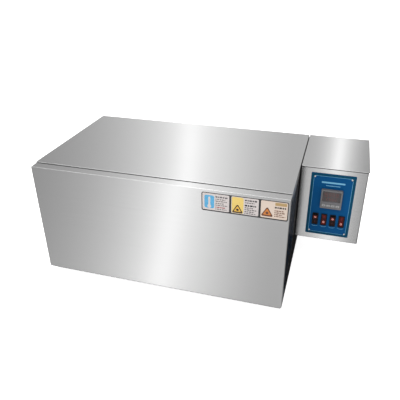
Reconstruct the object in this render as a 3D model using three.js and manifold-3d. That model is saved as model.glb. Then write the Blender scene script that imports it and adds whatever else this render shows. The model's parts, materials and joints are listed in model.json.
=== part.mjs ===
// Bench thermostatic water bath: a stainless steel tank with a flat hinged lid, and a control box on its right.
// Millimetres, +X right, +Y back, +Z up. The sub-parts are drawn from the tank's front left bottom corner, and
// the whole group is then moved so that its origin is the middle of its box, on the surface it stands on.

import * as THREE from "three";
import { mergeVertices } from "three/addons/utils/BufferGeometryUtils.js";
import Module from "manifold-3d";

const wasm = await Module();
wasm.setup();

// ---------- driving dimensions ----------

const BODY = { width: 600, depth: 370, height: 284.5 };
const SHEET = 1.2;
const GAP = 0.3;
const DECK_Z = 268;
const RIM_DEPTH = 24;
const LID = { x0: -2.5, front: RIM_DEPTH + 1, bottom: DECK_Z + GAP, top: 286 };
const FOOT = { height: 12, radius: 15, inset: 38 };

const TANK = { x0: 32, x1: 568, y0: 44, y1: 340, floor: 65, wall: 1, corner: 22 };
const HEATER = { radius: 5, z: 88, bend: 26, x: 96, y: [118, 266] };
const PROBE = { radius: 3, y: 192, z: 88, reach: 130 };
const SHELF = { top: 112, thick: 1.2, clear: 6, pitch: 42, hole: 8, columns: 5, rows: 2, feet: 4 };

const BOX = { x0: 602, x1: 749, y0: 170, y1: 370, z0: 95.5, z1: 284.2, bend: 3 };
const COVER = { side: 2, front: 1.5, skirt: 9 };
const WIRES = { y: 240, z: 150, radius: 12 };
const VENT = { count: 7, y0: 225, pitch: 16, width: 5, z0: 130, z1: 190 };

const PANEL = { x0: 625.5, x1: 725.2, z0: 110.3, z1: 272, thick: 1.15, screw: 8.8 };
const PANEL_FRONT = BOX.y0 - PANEL.thick - 0.05;
const CONTROLLER = { size: 48, x: 676.5, z0: 186.3, proud: 7, body: 44.5, depth: 70 };
const CONTROLLER_FRONT = PANEL_FRONT - CONTROLLER.proud;
const KEY = { width: 8, height: 5, pitch: 10.4, z: CONTROLLER.z0 + 8.5, proud: 1 };

const SWITCH = { width: 14, height: 31, z: 152.5, proud: 1.8, body: 12.4, cutout: 29, tilt: 9, pivot: 3.2 };
const SWITCH_X = [0, 1, 2, 3].map((place) => 645.4 + 20.1 * place);
const SWITCH_STATE = [1, -1, 1, -1];

const LABELS = { y: -0.35, thick: 0.3, z0: 233.7, z1: 277.8, x: [[413, 474], [477, 536], [539, 596.5]] };
const VALVE = { x: -23.5, y: 185, z: 82, reach: 58, bore: 4, ball: 7, stem: 2, shank: 8 };
const GLAND = { x: 705, z: 122, reach: 22, thread: 8 };
const HINGE = { x: [110, 490], y: BODY.depth + 5.5, z: DECK_Z, width: 60, drop: 39, leaf: 1.5, radius: 4.5, pin: 2 };

const CENTRE_X = (BOX.x1 + COVER.side - VALVE.reach) / 2;
const CENTRE_Y = (BODY.depth + GLAND.reach + LABELS.y) / 2;

// ---------- materials ----------

function finish(color, roughness, metalness) {
  return new THREE.MeshStandardMaterial({ color, roughness, metalness });
}

const STEEL = finish(0xc9c9ca, 0.28, 1);
const STEEL_DULL = finish(0xa8a9aa, 0.45, 1);
const CHROME = finish(0xdadbdd, 0.12, 1);
const BRASS = finish(0xc9a24a, 0.3, 1);
const BLUE = finish(0x0b4f9c, 0.35, 0);
const BLACK = finish(0x121214, 0.4, 0);
const GREY = finish(0x6b6d70, 0.5, 0);
const RED = finish(0xa3120c, 0.25, 0);
const SMOKED = finish(0x14080a, 0.1, 0);
const RUBBER = finish(0x1d1d1e, 0.85, 0);
const SILICONE = finish(0xc8c5be, 0.7, 0);
const WOOL = finish(0xd9cf9f, 0.95, 0);
const WHITE = finish(0xe9e6dc, 0.5, 0);

// ---------- shapes ----------

const X = new THREE.Vector3(1, 0, 0);
const Y = new THREE.Vector3(0, 1, 0);
const Z = new THREE.Vector3(0, 0, 1);

const block = (x0, x1, y0, y1, z0, z1) =>
  new THREE.BoxGeometry(x1 - x0, y1 - y0, z1 - z0).translate((x0 + x1) / 2, (y0 + y1) / 2, (z0 + z1) / 2);

// An outline of straight runs through the given points.
const outline = (points) => new THREE.Shape(points.map(([u, v]) => new THREE.Vector2(u, v)));

// A rectangle whose four corners have their own radii: lower left, lower right, upper right, upper left.
function rectangle(u0, u1, v0, v1, radii) {
  const [ll, lr, ur, ul] = Array.isArray(radii) ? radii : [radii, radii, radii, radii];
  const shape = new THREE.Shape();
  const corner = (u, v, r, from) => {
    if (r > 0) shape.absarc(u, v, r, from, from + Math.PI / 2, false);
    else shape.lineTo(u, v);
  };
  shape.moveTo(u0 + ll, v0);
  shape.lineTo(u1 - lr, v0);
  corner(u1 - lr, v0 + lr, lr, -Math.PI / 2);
  shape.lineTo(u1, v1 - ur);
  corner(u1 - ur, v1 - ur, ur, 0);
  shape.lineTo(u0 + ul, v1);
  corner(u0 + ul, v1 - ul, ul, Math.PI / 2);
  shape.lineTo(u0, v0 + ll);
  corner(u0 + ll, v0 + ll, ll, Math.PI);
  return shape;
}

function extruded(shape, depth, curveSegments) {
  return new THREE.ExtrudeGeometry(shape, { depth, bevelEnabled: false, curveSegments, steps: 1 });
}

// A shape in (x, y) raised from z0 to z1.
const raised = (shape, z0, z1, segments = 6) => extruded(shape, z1 - z0, segments).translate(0, 0, z0);

// A shape in (y, z) drawn out along X from x0 to x1.
const alongX = (shape, x0, x1, segments = 6) =>
  extruded(shape, x1 - x0, segments).applyMatrix4(new THREE.Matrix4().makeBasis(Y, Z, X)).translate(x0, 0, 0);

// A shape in (x, z) drawn out along Y from y0 to y1.
const alongY = (shape, y0, y1, segments = 6) =>
  extruded(shape, y1 - y0, segments)
    .applyMatrix4(new THREE.Matrix4().makeBasis(X, Z, Y.clone().negate()))
    .translate(0, y1, 0);

// A profile of [radius, distance] pairs turned about a line through (x, y, z) that runs along the direction.
function turned(profile, x, y, z, direction, segments = 24) {
  const geometry = new THREE.LatheGeometry(profile.map(([r, h]) => new THREE.Vector2(r, h)), segments);
  const spin = new THREE.Quaternion().setFromUnitVectors(Y, direction);
  return geometry.applyQuaternion(spin).translate(x, y, z);
}

const rod = (radius, h0, h1, x, y, z, direction, segments = 16) =>
  turned([[0, h0], [radius, h0], [radius, h1], [0, h1]], x, y, z, direction, segments);

// ---------- booleans ----------

function solid(shape) {
  if (!shape.isBufferGeometry) return shape;
  const bare = new THREE.BufferGeometry().setAttribute("position", shape.getAttribute("position"));
  if (shape.index) bare.setIndex(shape.index);
  const merged = mergeVertices(bare, 1e-3);
  return new wasm.Manifold(
    new wasm.Mesh({
      numProp: 3,
      vertProperties: merged.attributes.position.array,
      triVerts: new Uint32Array(merged.index.array),
    }),
  );
}

const join = (first, ...others) => others.reduce((sum, other) => sum.add(solid(other)), solid(first));
const cut = (first, ...others) => others.reduce((rest, other) => rest.subtract(solid(other)), solid(first));
const common = (first, ...others) => others.reduce((both, other) => both.intersect(solid(other)), solid(first));

const part = new THREE.Group();

// Adds one named piece, from a geometry or from a solid that was cut or joined.
function add(name, shape, material) {
  let geometry = shape;
  if (!shape.isBufferGeometry) {
    const mesh = shape.getMesh();
    geometry = new THREE.BufferGeometry();
    geometry.setAttribute("position", new THREE.Float32BufferAttribute(mesh.vertProperties, 3));
    geometry.setIndex(Array.from(mesh.triVerts));
    geometry = geometry.toNonIndexed();
    geometry.computeVertexNormals();
  }
  const piece = new THREE.Mesh(geometry, material);
  piece.name = name;
  part.add(piece);
  return piece;
}

// ---------- tank body ----------

function outerShell() {
  const { width, depth, height } = BODY;
  const topBend = 4;
  const sideBend = 4;
  const bottomBend = 8;
  const lip = 60;
  const turnDown = 3;
  const sideProfile = (inset, top, open) => {
    const shape = new THREE.Shape();
    shape.moveTo(inset, inset);
    shape.lineTo(depth - inset, inset);
    shape.lineTo(depth - inset, DECK_Z + open);
    shape.lineTo(RIM_DEPTH, DECK_Z + open);
    if (open) {
      shape.lineTo(RIM_DEPTH, DECK_Z - turnDown);
      shape.lineTo(RIM_DEPTH - inset, DECK_Z - turnDown);
    }
    shape.lineTo(RIM_DEPTH - inset, top);
    shape.lineTo(topBend, top);
    shape.absarc(topBend, height - topBend, topBend - inset, Math.PI / 2, Math.PI, false);
    return shape;
  };
  const plan = (inset) => rectangle(inset, width - inset, inset, depth - inset, sideBend - inset);
  const front = (inset, top) =>
    rectangle(inset, width - inset, inset, top, [bottomBend - inset, bottomBend - inset, 0, 0]);
  const outside = common(
    alongX(sideProfile(0, height, 0), 0, width),
    raised(plan(0), 0, height),
    alongY(front(0, height), 0, depth),
  );
  const inside = common(
    alongX(sideProfile(SHEET, height - SHEET, 6), SHEET, width - SHEET),
    raised(plan(SHEET), SHEET, height),
    alongY(front(SHEET, height + 1), 0, depth),
  );
  const bottomOpening = block(lip, width - lip, lip, depth - lip, -1, SHEET + 1);
  const drainHole = rod(VALVE.shank + 3, -10, 10, 0, VALVE.y, VALVE.z, X);
  const wireHole = rod(WIRES.radius, -10, 10, width, WIRES.y, WIRES.z, X);
  add("outer_shell", cut(outside, inside, bottomOpening, drainHole, wireHole), STEEL);
}

function basePlate() {
  const z0 = SHEET + GAP;
  const side = 9;
  const end = 3;
  const plate = rectangle(side, BODY.width - side, end, BODY.depth - end, 6);
  add("base_plate", raised(plate, z0, z0 + SHEET, 3), STEEL_DULL);
}

function feet() {
  const { height, radius, inset } = FOOT;
  const profile = [
    [0, 5 - height], [4, 5 - height], [4, -height], [radius - 3, -height], [radius - 2, 1.5 - height],
    [radius, -GAP], [0, -GAP],
  ];
  let count = 0;
  for (const y of [inset, BODY.depth - inset]) {
    for (const x of [inset, BODY.width - inset]) {
      count += 1;
      add("rubber_foot_" + count, turned(profile, x, y, 0, Z, 16), RUBBER);
    }
  }
}

// ---------- working chamber ----------

function innerTank() {
  const { x0, x1, y0, y1, floor, wall, corner } = TANK;
  const flange = raised(
    rectangle(SHEET + GAP, BODY.width - SHEET - GAP, RIM_DEPTH + GAP, BODY.depth - SHEET - GAP, 3),
    DECK_Z - wall, DECK_Z, 3,
  );
  const around = rectangle(x0 - wall, x1 + wall, y0 - wall, y1 + wall, corner + wall);
  const walls = raised(around, floor, DECK_Z - 0.1, 6);
  const hollow = raised(rectangle(x0, x1, y0, y1, corner), floor + wall, DECK_Z + 1, 6);
  const holes = heaterLegs().map((y) => rod(HEATER.radius + GAP, -10, 10, x1, y, HEATER.z, X, 12));
  const probeHole = rod(PROBE.radius + GAP, -10, 10, x1, PROBE.y, PROBE.z, X);
  const drainHole = rod(VALVE.shank + GAP, -10, 10, x0, VALVE.y, VALVE.z, X);
  add("inner_tank", cut(join(flange, walls), hollow, ...holes, probeHole, drainHole), STEEL);
}

function insulation() {
  const { x0, x1, y0, y1, floor } = TANK;
  const clear = 3;
  const thick = 17;
  const bay = { y0: 70, y1: 310, top: 170 };
  const around = (spread, corner) => rectangle(x0 - spread, x1 + spread, y0 - spread, y1 + spread, corner);
  const jacket = raised(around(clear + thick, 30), floor - 2, DECK_Z - 6, 3);
  const bore = raised(around(clear, 24), floor - 3, DECK_Z, 3);
  const wireBay = block(x1 + 1, BODY.width, bay.y0, bay.y1, floor - 3, bay.top);
  const drainBore = rod(VALVE.shank + 5, -10, 40, 0, VALVE.y, VALVE.z, X);
  add("insulation_jacket", cut(jacket, bore, wireBay, drainBore), WOOL);
  add("insulation_base", raised(around(clear + thick, 30), floor - 22, floor - 3, 3), WOOL);
}

function heaterLegs() {
  return HEATER.y.flatMap((y) => [y - HEATER.bend, y + HEATER.bend]);
}

// One tube: out along X, round a half circle, and back.
function heatingElements() {
  const end = TANK.x1 + 14;
  const steps = 10;
  const flange = { side: 40, half: 13, from: TANK.x1 + 2.2, to: TANK.x1 + 5 };
  HEATER.y.forEach((y, index) => {
    const turn = [];
    for (let step = 0; step <= steps; step += 1) {
      const angle = (Math.PI * step) / steps;
      const along = HEATER.x - HEATER.bend * Math.sin(angle);
      turn.push(new THREE.Vector3(along, y - HEATER.bend * Math.cos(angle), HEATER.z));
    }
    const from = new THREE.Vector3(end, y - HEATER.bend, HEATER.z);
    const back = new THREE.Vector3(end, y + HEATER.bend, HEATER.z);
    add("heating_element_" + (index + 1), sweptTube([from, ...turn, back], HEATER.radius, 12), CHROME);

    const { side, half, from: near, to: far } = flange;
    const plate = alongX(rectangle(y - side, y + side, HEATER.z - half, HEATER.z + half, 5), near, far, 2);
    const holes = [y - HEATER.bend, y + HEATER.bend].map((leg) =>
      rod(HEATER.radius + GAP, -2, 8, TANK.x1, leg, HEATER.z, X, 12),
    );
    add("heater_flange_" + (index + 1), cut(plate, ...holes), STEEL_DULL);
  });
}

// A round tube in a level plane through the given centres, closed at both ends.
function sweptTube(centres, radius, sides) {
  const points = [];
  centres.forEach((centre, i) => {
    const before = centres[Math.max(i - 1, 0)];
    const after = centres[Math.min(i + 1, centres.length - 1)];
    const tangent = after.clone().sub(before).normalize();
    const across = new THREE.Vector3().crossVectors(Z, tangent);
    const turnHere = i > 0 && i < centres.length - 1;
    const bisect = turnHere ? centre.clone().sub(before).normalize().dot(tangent) : 1;
    for (let k = 0; k < sides; k += 1) {
      const angle = (2 * Math.PI * k) / sides;
      const side = across.clone().multiplyScalar((radius * Math.cos(angle)) / bisect);
      points.push(centre.clone().add(side).addScaledVector(Z, radius * Math.sin(angle)));
    }
  });
  const faces = [];
  for (let i = 0; i + 1 < centres.length; i += 1) {
    for (let k = 0; k < sides; k += 1) {
      const a = i * sides + k;
      const b = i * sides + ((k + 1) % sides);
      faces.push(a, b, a + sides, b, b + sides, a + sides);
    }
  }
  const last = (centres.length - 1) * sides;
  for (let k = 1; k + 1 < sides; k += 1) {
    faces.push(0, k + 1, k, last, last + k, last + k + 1);
  }
  const geometry = new THREE.BufferGeometry().setFromPoints(points);
  geometry.setIndex(faces);
  geometry.computeVertexNormals();
  return geometry;
}

function temperatureProbe() {
  const { radius, y, z, reach } = PROBE;
  const profile = [
    [0, -reach], [radius - 1, -reach + 0.4], [radius, -reach + 1.5], [radius, 1.5],
    [7, 1.5], [7, 7], [radius, 7], [radius, 18], [0, 18],
  ];
  add("temperature_probe", turned(profile, TANK.x1, y, z, X, 16), CHROME);
}

function perforatedShelf() {
  const { x0, x1, y0, y1, floor, wall } = TANK;
  const { top, thick, clear, pitch, hole, columns, rows } = SHELF;
  const shape = rectangle(x0 + clear, x1 - clear, y0 + clear, y1 - clear, 16);
  const middleX = (x0 + x1) / 2;
  const middleY = (y0 + y1) / 2;
  for (let column = -columns; column <= columns; column += 1) {
    for (let row = -rows; row <= rows; row += 1) {
      const ring = new THREE.Path();
      ring.absarc(middleX + column * pitch, middleY + row * pitch, hole, 0, 2 * Math.PI, true);
      shape.holes.push(ring);
    }
  }
  const plate = raised(shape, top - thick, top, 2);
  const legs = [y0 + clear, y1 - clear - thick].map((y) =>
    alongY(legOutline(x0 + 30, x1 - 30, floor + wall + GAP, top - thick / 2), y, y + thick, 4),
  );
  add("perforated_shelf", join(plate, ...legs), STEEL);
}

// A folded side of the shelf: a strip along the top that stands on four feet.
function legOutline(x0, x1, z0, z1) {
  const strip = z1 - 12;
  const foot = 24;
  const bay = (x1 - x0 - SHELF.feet * foot) / (SHELF.feet - 1);
  const points = [[x1, z1], [x0, z1]];
  for (let i = 0; i < SHELF.feet; i += 1) {
    const x = x0 + i * (foot + bay);
    points.push([x, z0], [x + foot, z0]);
    if (i < SHELF.feet - 1) points.push([x + foot, strip], [x + foot + bay, strip]);
  }
  return outline(points);
}

// ---------- drain valve ----------

// A hose barb, a ball valve and a shank that goes through the wall into the tank. The ball turns with the lever.
function drainValve() {
  const { x, y, z, reach, bore, ball, stem, shank } = VALVE;
  const tip = -reach;
  const inside = TANK.x0 + 6;
  const barbs = [0, 5, 10].flatMap((step) => [[5.2, tip + step], [6.5, tip + step + 3]]);
  const profile = [
    [0, tip], ...barbs, [5.2, tip + 14], [8, tip + 18], [11, tip + 19], [11, tip + 27], [9.5, tip + 28],
    [9.5, -16], [12, -15], [12, -7], [14, -6.5], [14, -0.5], [shank, -0.5], [shank, inside], [0, inside],
  ];
  const body = turned(profile, 0, y, z, X, 16);
  const bonnet = turned([[0, 0], [6.5, 0], [6.5, 15], [4, 16], [4, 17.5], [0, 17.5]], x, y, z, Z, 16);
  const way = rod(bore, tip - 1, inside + 1, 0, y, z, X, 16);
  const seat = new THREE.SphereGeometry(ball + GAP, 20, 14).translate(x, y, z);
  const stemWay = rod(stem + GAP, 0, 20, x, y, z, Z, 12);
  add("drain_valve_body", cut(join(body, bonnet), way, seat, stemWay), BRASS);

  const ballWay = rod(bore, -ball - 1, ball + 1, x, y, z, Y, 16);
  add("drain_valve_ball", cut(new THREE.SphereGeometry(ball, 20, 14).translate(x, y, z), ballWay), CHROME);

  const low = z + 17.8;
  const high = z + 20.6;
  const lever = join(
    raised(rectangle(x - 7, x + 7, y - 7, y + 7, 4), low, high, 3),
    raised(rectangle(x - 6, x + 6, y - 48, y, 5), low, high, 4),
    turned([[0, 17.8], [5.5, 17.8], [5.5, 24.5], [4.5, 25.5], [0, 25.5]], x, y, z, Z, 12),
    rod(stem, ball + GAP, 20, x, y, z, Z, 12),
  );
  add("drain_valve_lever", lever, RED);
}

// ---------- lid ----------

// A shallow folded tray over an insulated pan. It stands out past the tank's left side, as a lip for fingers.
function lid() {
  const { x0, front, bottom, top } = LID;
  const { width, depth } = BODY;
  const outside = raised(rectangle(x0, width, front, depth, [1.5, 1.5, 3, 3]), bottom, top, 4);
  const inside = raised(
    rectangle(x0 + SHEET, width - SHEET, front + SHEET, depth - SHEET, 1.5),
    bottom - 1, top - SHEET, 3,
  );
  add("lid_skin", cut(outside, inside), STEEL);

  const room = SHEET + GAP;
  const pan = rectangle(x0 + room, width - room, front + room, depth - room, 2);
  const panFloor = DECK_Z + 3.6;
  add("lid_inner_panel", raised(pan, panFloor, panFloor + SHEET, 3), STEEL);

  const margin = room + 2;
  const core = rectangle(x0 + margin, width - margin, front + margin, depth - margin, 2);
  add("lid_insulation", raised(core, panFloor + 1.6, top - SHEET - GAP, 2), WOOL);

  const around = (spread, corner) =>
    rectangle(TANK.x0 - spread, TANK.x1 + spread, TANK.y0 - spread, TANK.y1 + spread, corner);
  const seal = around(12, 30);
  const opening = new THREE.Path();
  opening.setFromPoints(around(4, 24).extractPoints(6).shape.reverse());
  seal.holes.push(opening);
  add("lid_gasket", raised(seal, DECK_Z + GAP, panFloor - GAP, 6), SILICONE);
}

// Two butt hinges behind the lid: one leaf on the body, one on the lid's rear skirt, and a pin.
function hinges() {
  const { width, y, z, radius, pin, leaf: thick, drop } = HINGE;
  const leafBack = BODY.depth + 0.05;
  const knuckle = width / 5;
  const clear = 0.25;
  const overlap = radius + 2;
  HINGE.x.forEach((middle, index) => {
    const left = middle - width / 2;
    const right = left + width;
    const flat = (from, to, z0, z1) => block(from, to, leafBack, leafBack + thick, z0, z1);
    const leaf = (plate, places, z0, z1) => {
      const barrels = places.flatMap((place) => {
        const from = left + place * knuckle + clear;
        const to = from + knuckle - 2 * clear;
        return [rod(radius, from, to, 0, y, z, X, 14), flat(from, to, z0, z1)];
      });
      return cut(join(plate, ...barrels), rod(pin + 0.15, left - 5, right + 5, 0, y, z, X, 14));
    };
    const fixedPlate = flat(left, right, z - drop, z - radius - 1);
    const movingPlate = flat(left, right, z + radius + 1, LID.top - 3);
    const name = "hinge_" + (index + 1);
    add(name + "_fixed_leaf", leaf(fixedPlate, [0, 2, 4], z - overlap, z), STEEL_DULL);
    add(name + "_moving_leaf", leaf(movingPlate, [1, 3], z, z + overlap), STEEL_DULL);

    const head = pin + 1.2;
    const end = 1.5;
    const pinProfile = [
      [0, left - end], [head, left - end], [head, left - GAP], [pin, left - GAP],
      [pin, right + end], [0, right + end],
    ];
    add(name + "_pin", turned(pinProfile, 0, y, z, X, 14), CHROME);
  });
}

// ---------- control box ----------

// A square block centred on the controller, and a block centred on each switch.
const controllerCut = (half, y0, y1) => {
  const z = CONTROLLER.z0 + CONTROLLER.size / 2;
  return block(CONTROLLER.x - half, CONTROLLER.x + half, y0, y1, z - half, z + half);
};

const switchCuts = (half, tall, y0, y1) =>
  SWITCH_X.map((x) => block(x - half, x + half, y0, y1, SWITCH.z - tall, SWITCH.z + tall));

const frontOpenings = (y0, y1) => [
  controllerCut(CONTROLLER.body / 2 + 0.45, y0, y1),
  ...switchCuts(SWITCH.body / 2 + GAP, SWITCH.cutout / 2, y0, y1),
];

const PANEL_SCREWS = [PANEL.z0 + PANEL.screw, PANEL.z1 - PANEL.screw].flatMap((z) =>
  [PANEL.x0 + PANEL.screw, PANEL.x1 - PANEL.screw].map((x) => [x, z]),
);

const screwHoles = () => PANEL_SCREWS.map(([x, z]) => rod(1.9, -3, 6, x, BOX.y0, z, Y, 10));

function controlBox() {
  const { x0, x1, y0, y1, z0, z1, bend } = BOX;
  const outside = raised(rectangle(x0, x1, y0, y1, [bend, bend, 0, 0]), z0, z1, 4);
  const tight = bend - SHEET;
  const inside = raised(
    rectangle(x0 + SHEET, x1 - SHEET, y0 + SHEET, y1 + 1, [tight, tight, 0, 0]),
    z0 + SHEET, z1 + 1, 4,
  );
  const slots = [];
  for (let i = 0; i < VENT.count; i += 1) {
    const y = VENT.y0 + i * VENT.pitch;
    slots.push(block(x1 - 4, x1 + 4, y, y + VENT.width, VENT.z0, VENT.z1));
  }
  const wireHole = rod(WIRES.radius, -10, 10, x0, WIRES.y, WIRES.z, X);
  const shell = cut(outside, inside, ...frontOpenings(y0 - 2, y0 + 4), ...screwHoles(), ...slots, wireHole);
  add("control_box_shell", shell, STEEL);

  const room = SHEET + GAP;
  const back = block(x0 + room, x1 - room, y1 - SHEET, y1, z0 + room, z1 - GAP);
  const glandHole = rod(GLAND.thread + GAP, -10, 10, GLAND.x, y1, GLAND.z, Y, 20);
  add("control_box_back_plate", cut(back, glandHole), STEEL);
}

// The cover overhangs the front and the right side, and its skirt stands inside the shell.
function controlBoxCover() {
  const { x0, x1, y0, y1, z1, bend } = BOX;
  const room = SHEET + GAP;
  const plate = raised(
    rectangle(x0, x1 + COVER.side, y0 - COVER.front, y1, [bend, bend, 0, 0]),
    z1 + GAP, LID.top, 4,
  );
  const tray = (inset, radius) =>
    rectangle(x0 + room + inset, x1 - room - inset, y0 + room + inset, y1 - 6 - inset, radius);
  const skirt = raised(tray(0, 1.5), z1 - COVER.skirt, z1 + 1, 3);
  const hollow = raised(tray(SHEET, 1), z1 - COVER.skirt - 1, z1, 3);
  add("control_box_cover", cut(join(plate, skirt), hollow), STEEL);
}

// A foam ring closes the gap between the tank and the box, and a bushing lines the way of the wires.
function boxMountings() {
  const x = (BODY.width + BOX.x0) / 2;
  const half = 0.7;
  const ring = (inset, corner) => rectangle(
    BOX.y0 + 1 + inset, BOX.y1 - 1 - inset, BOX.z0 + 2 + inset, BOX.z1 - 3 - inset, corner,
  );
  const frame = alongX(ring(0, 3), x - half, x + half, 3);
  const middle = alongX(ring(8, 1), x - 2, x + 2, 2);
  add("box_gasket", cut(frame, middle), RUBBER);

  const reach = 14;
  const outer = WIRES.radius - 1;
  const inner = outer - 3;
  const profile = [[inner, -reach], [outer, -reach], [outer, reach], [inner, reach], [inner, -reach]];
  add("wire_bushing", turned(profile, x, WIRES.y, WIRES.z, X, 24), RUBBER);
}

function controlPanel() {
  const sheet = rectangle(PANEL.x0, PANEL.x1, PANEL.z0, PANEL.z1, 2.5);
  const plate = alongY(sheet, PANEL_FRONT, PANEL_FRONT + PANEL.thick, 4);
  add("control_panel", cut(plate, ...frontOpenings(PANEL_FRONT - 1, BOX.y0 + 1), ...screwHoles()), BLUE);
  const profile = [[0, -2.2], [1.6, -2], [2.8, -1.2], [3.1, -0.1], [1.5, -0.1], [1.5, 7], [0, 7]];
  PANEL_SCREWS.forEach(([x, z], index) => {
    add("panel_screw_" + (index + 1), turned(profile, x, PANEL_FRONT, z, Y, 10), CHROME);
  });
}

function controller() {
  const { size, x, z0, body, depth } = CONTROLLER;
  const half = size / 2;
  const back = PANEL_FRONT - 0.1;
  const bezel = alongY(rectangle(x - half, x + half, z0, z0 + size, 2), CONTROLLER_FRONT, back, 3);
  const can = controllerCut(body / 2, back - 1, PANEL_FRONT + depth);
  const display = (inset, y0, y1) =>
    block(x - 20.5 + inset, x + 20.5 - inset, y0, y1, z0 + 18 + inset, z0 + 44 - inset);
  const key = (middle, spread, y0, y1) => {
    const sides = KEY.width / 2 + spread;
    const ends = KEY.height / 2 + spread;
    const face = rectangle(middle - sides, middle + sides, KEY.z - ends, KEY.z + ends, 0.8);
    return alongY(face, y0, y1, 2);
  };
  const keyX = [-1.5, -0.5, 0.5, 1.5].map((step) => x + step * KEY.pitch);
  const front = CONTROLLER_FRONT;
  const pockets = keyX.map((middle) => key(middle, GAP, front - 1, front + 4));
  const housing = cut(join(bezel, can), display(0, front - 1, front + 1.4), ...pockets);
  add("controller_housing", housing, GREY);
  add("controller_window", display(GAP, front + 0.2, front + 1.1), SMOKED);
  keyX.forEach((middle, index) => {
    add("controller_key_" + (index + 1), key(middle, 0, front - KEY.proud, front + 3), WHITE);
  });
}

// Each switch: a frame with a pocket, and a rocker with two flats that tips about a pin across its middle.
function switches() {
  const { width, height, z, proud, pivot, tilt, body } = SWITCH;
  const pocket = { half: 5.5, tall: 13.5, depth: 9.5 };
  const can = { tall: 14.2, depth: 20 };
  const rocker = { half: 5.2, tall: 12.4, back: 3, end: -6.2, middle: -4.3 };
  const profile = outline([
    [rocker.back, -rocker.tall], [rocker.back, rocker.tall],
    [rocker.end, rocker.tall], [rocker.middle, 0], [rocker.end, -rocker.tall],
  ]);
  SWITCH_X.forEach((x, index) => {
    const frame = alongY(
      rectangle(x - width / 2, x + width / 2, z - height / 2, z + height / 2, 1.2),
      PANEL_FRONT - proud, PANEL_FRONT - 0.1, 3,
    );
    const upright = (half, tall, y0, y1) => block(x - half, x + half, y0, y1, z - tall, z + tall);
    const housing = upright(body / 2, can.tall, PANEL_FRONT - 0.5, PANEL_FRONT + can.depth);
    const hollow = upright(pocket.half, pocket.tall, PANEL_FRONT - 5, PANEL_FRONT + pocket.depth);
    add("switch_bezel_" + (index + 1), cut(join(frame, housing), hollow), BLACK);

    const piece = add("switch_rocker_" + (index + 1), alongX(profile, -rocker.half, rocker.half), RED);
    piece.position.set(x, PANEL_FRONT + pivot, z);
    piece.rotation.x = THREE.MathUtils.degToRad(tilt * SWITCH_STATE[index]);
  });
}

// A finned relay and a notched row of terminals stand on the floor of the box.
function insideTheBox() {
  const floor = BOX.z0 + SHEET + GAP;
  const row = (count, x, pitch, width, y0, y1, z0, z1) =>
    Array.from({ length: count }, (_, i) => block(x + i * pitch, x + i * pitch + width, y0, y1, z0, z1));
  const fins = row(4, 622, 9.5, 6, 274, 322, floor + 25, floor + 36);
  const base = block(616, 661, 268, 328, floor, floor + 4);
  const casing = block(618, 659, 272, 324, floor + 3, floor + 26);
  add("solid_state_relay", join(base, casing, ...fins), BLACK);

  const notches = row(6, 682, 9, 6, 268, 310, floor + 10, floor + 30);
  add("terminal_block", cut(block(679, 736, 276, 302, floor, floor + 20), ...notches), WHITE);
}

function cableGland() {
  const { x, z, reach, thread } = GLAND;
  const nut = 11;
  const bore = 4;
  const inner = -SHEET - 8;
  const nutBack = -SHEET - 5.3;
  const nutFront = -SHEET - GAP;
  const profile = [
    [bore, inner], [thread, inner], [thread, nutBack], [nut, nutBack], [nut, nutFront], [thread, nutFront],
    [thread, GAP], [nut, GAP], [nut, 7], [9.5, 8], [9.5, 15], [8.6, 18], [6.5, 21], [5.2, reach],
    [bore, reach], [bore, inner],
  ];
  add("cable_gland", turned(profile, x, BOX.y1, z, Y, 16), BLACK);
}

function labels() {
  LABELS.x.forEach(([x0, x1], index) => {
    const card = rectangle(x0, x1, LABELS.z0, LABELS.z1, 3);
    add("label_card_" + (index + 1), alongY(card, LABELS.y, LABELS.y + LABELS.thick, 3), WHITE);
  });
}

outerShell();
basePlate();
feet();
innerTank();
insulation();
heatingElements();
temperatureProbe();
perforatedShelf();
drainValve();
lid();
hinges();
controlBox();
controlBoxCover();
boxMountings();
controlPanel();
controller();
switches();
insideTheBox();
cableGland();
labels();

part.position.set(-CENTRE_X, -CENTRE_Y, FOOT.height);

export default part;
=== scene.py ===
"""Looks of a bench water bath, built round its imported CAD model. Metres, +X right, +Y back, +Z up."""

import json
import math

import bmesh
import bpy
from mathutils import Matrix, Vector


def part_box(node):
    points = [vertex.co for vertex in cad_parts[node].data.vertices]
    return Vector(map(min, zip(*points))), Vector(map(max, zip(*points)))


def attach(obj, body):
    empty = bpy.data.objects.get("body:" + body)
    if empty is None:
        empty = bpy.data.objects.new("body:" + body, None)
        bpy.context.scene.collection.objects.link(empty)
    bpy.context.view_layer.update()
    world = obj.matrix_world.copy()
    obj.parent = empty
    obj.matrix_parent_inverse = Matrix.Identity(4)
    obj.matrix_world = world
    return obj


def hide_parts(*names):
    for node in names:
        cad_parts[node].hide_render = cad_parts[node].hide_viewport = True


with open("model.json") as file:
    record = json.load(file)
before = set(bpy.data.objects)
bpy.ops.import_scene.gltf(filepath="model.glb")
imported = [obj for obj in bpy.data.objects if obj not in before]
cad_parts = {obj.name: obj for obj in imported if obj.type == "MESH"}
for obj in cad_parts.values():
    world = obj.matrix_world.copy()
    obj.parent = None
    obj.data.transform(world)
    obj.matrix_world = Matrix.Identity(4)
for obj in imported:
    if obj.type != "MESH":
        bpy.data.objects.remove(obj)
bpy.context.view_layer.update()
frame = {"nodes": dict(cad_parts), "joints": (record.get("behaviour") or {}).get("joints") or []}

MM = 0.001
SHEET = 1.2 * MM
BODY = "body"
LID = "lid"
FOUR = (1, 2, 3, 4)
CONTROLLER_HOLE = 22.7 * MM
SWITCH_HOLE = (6.5 * MM, 14.5 * MM)
PANEL_INK = 0.03 * MM
CARD_INK = 0.02 * MM
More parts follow.
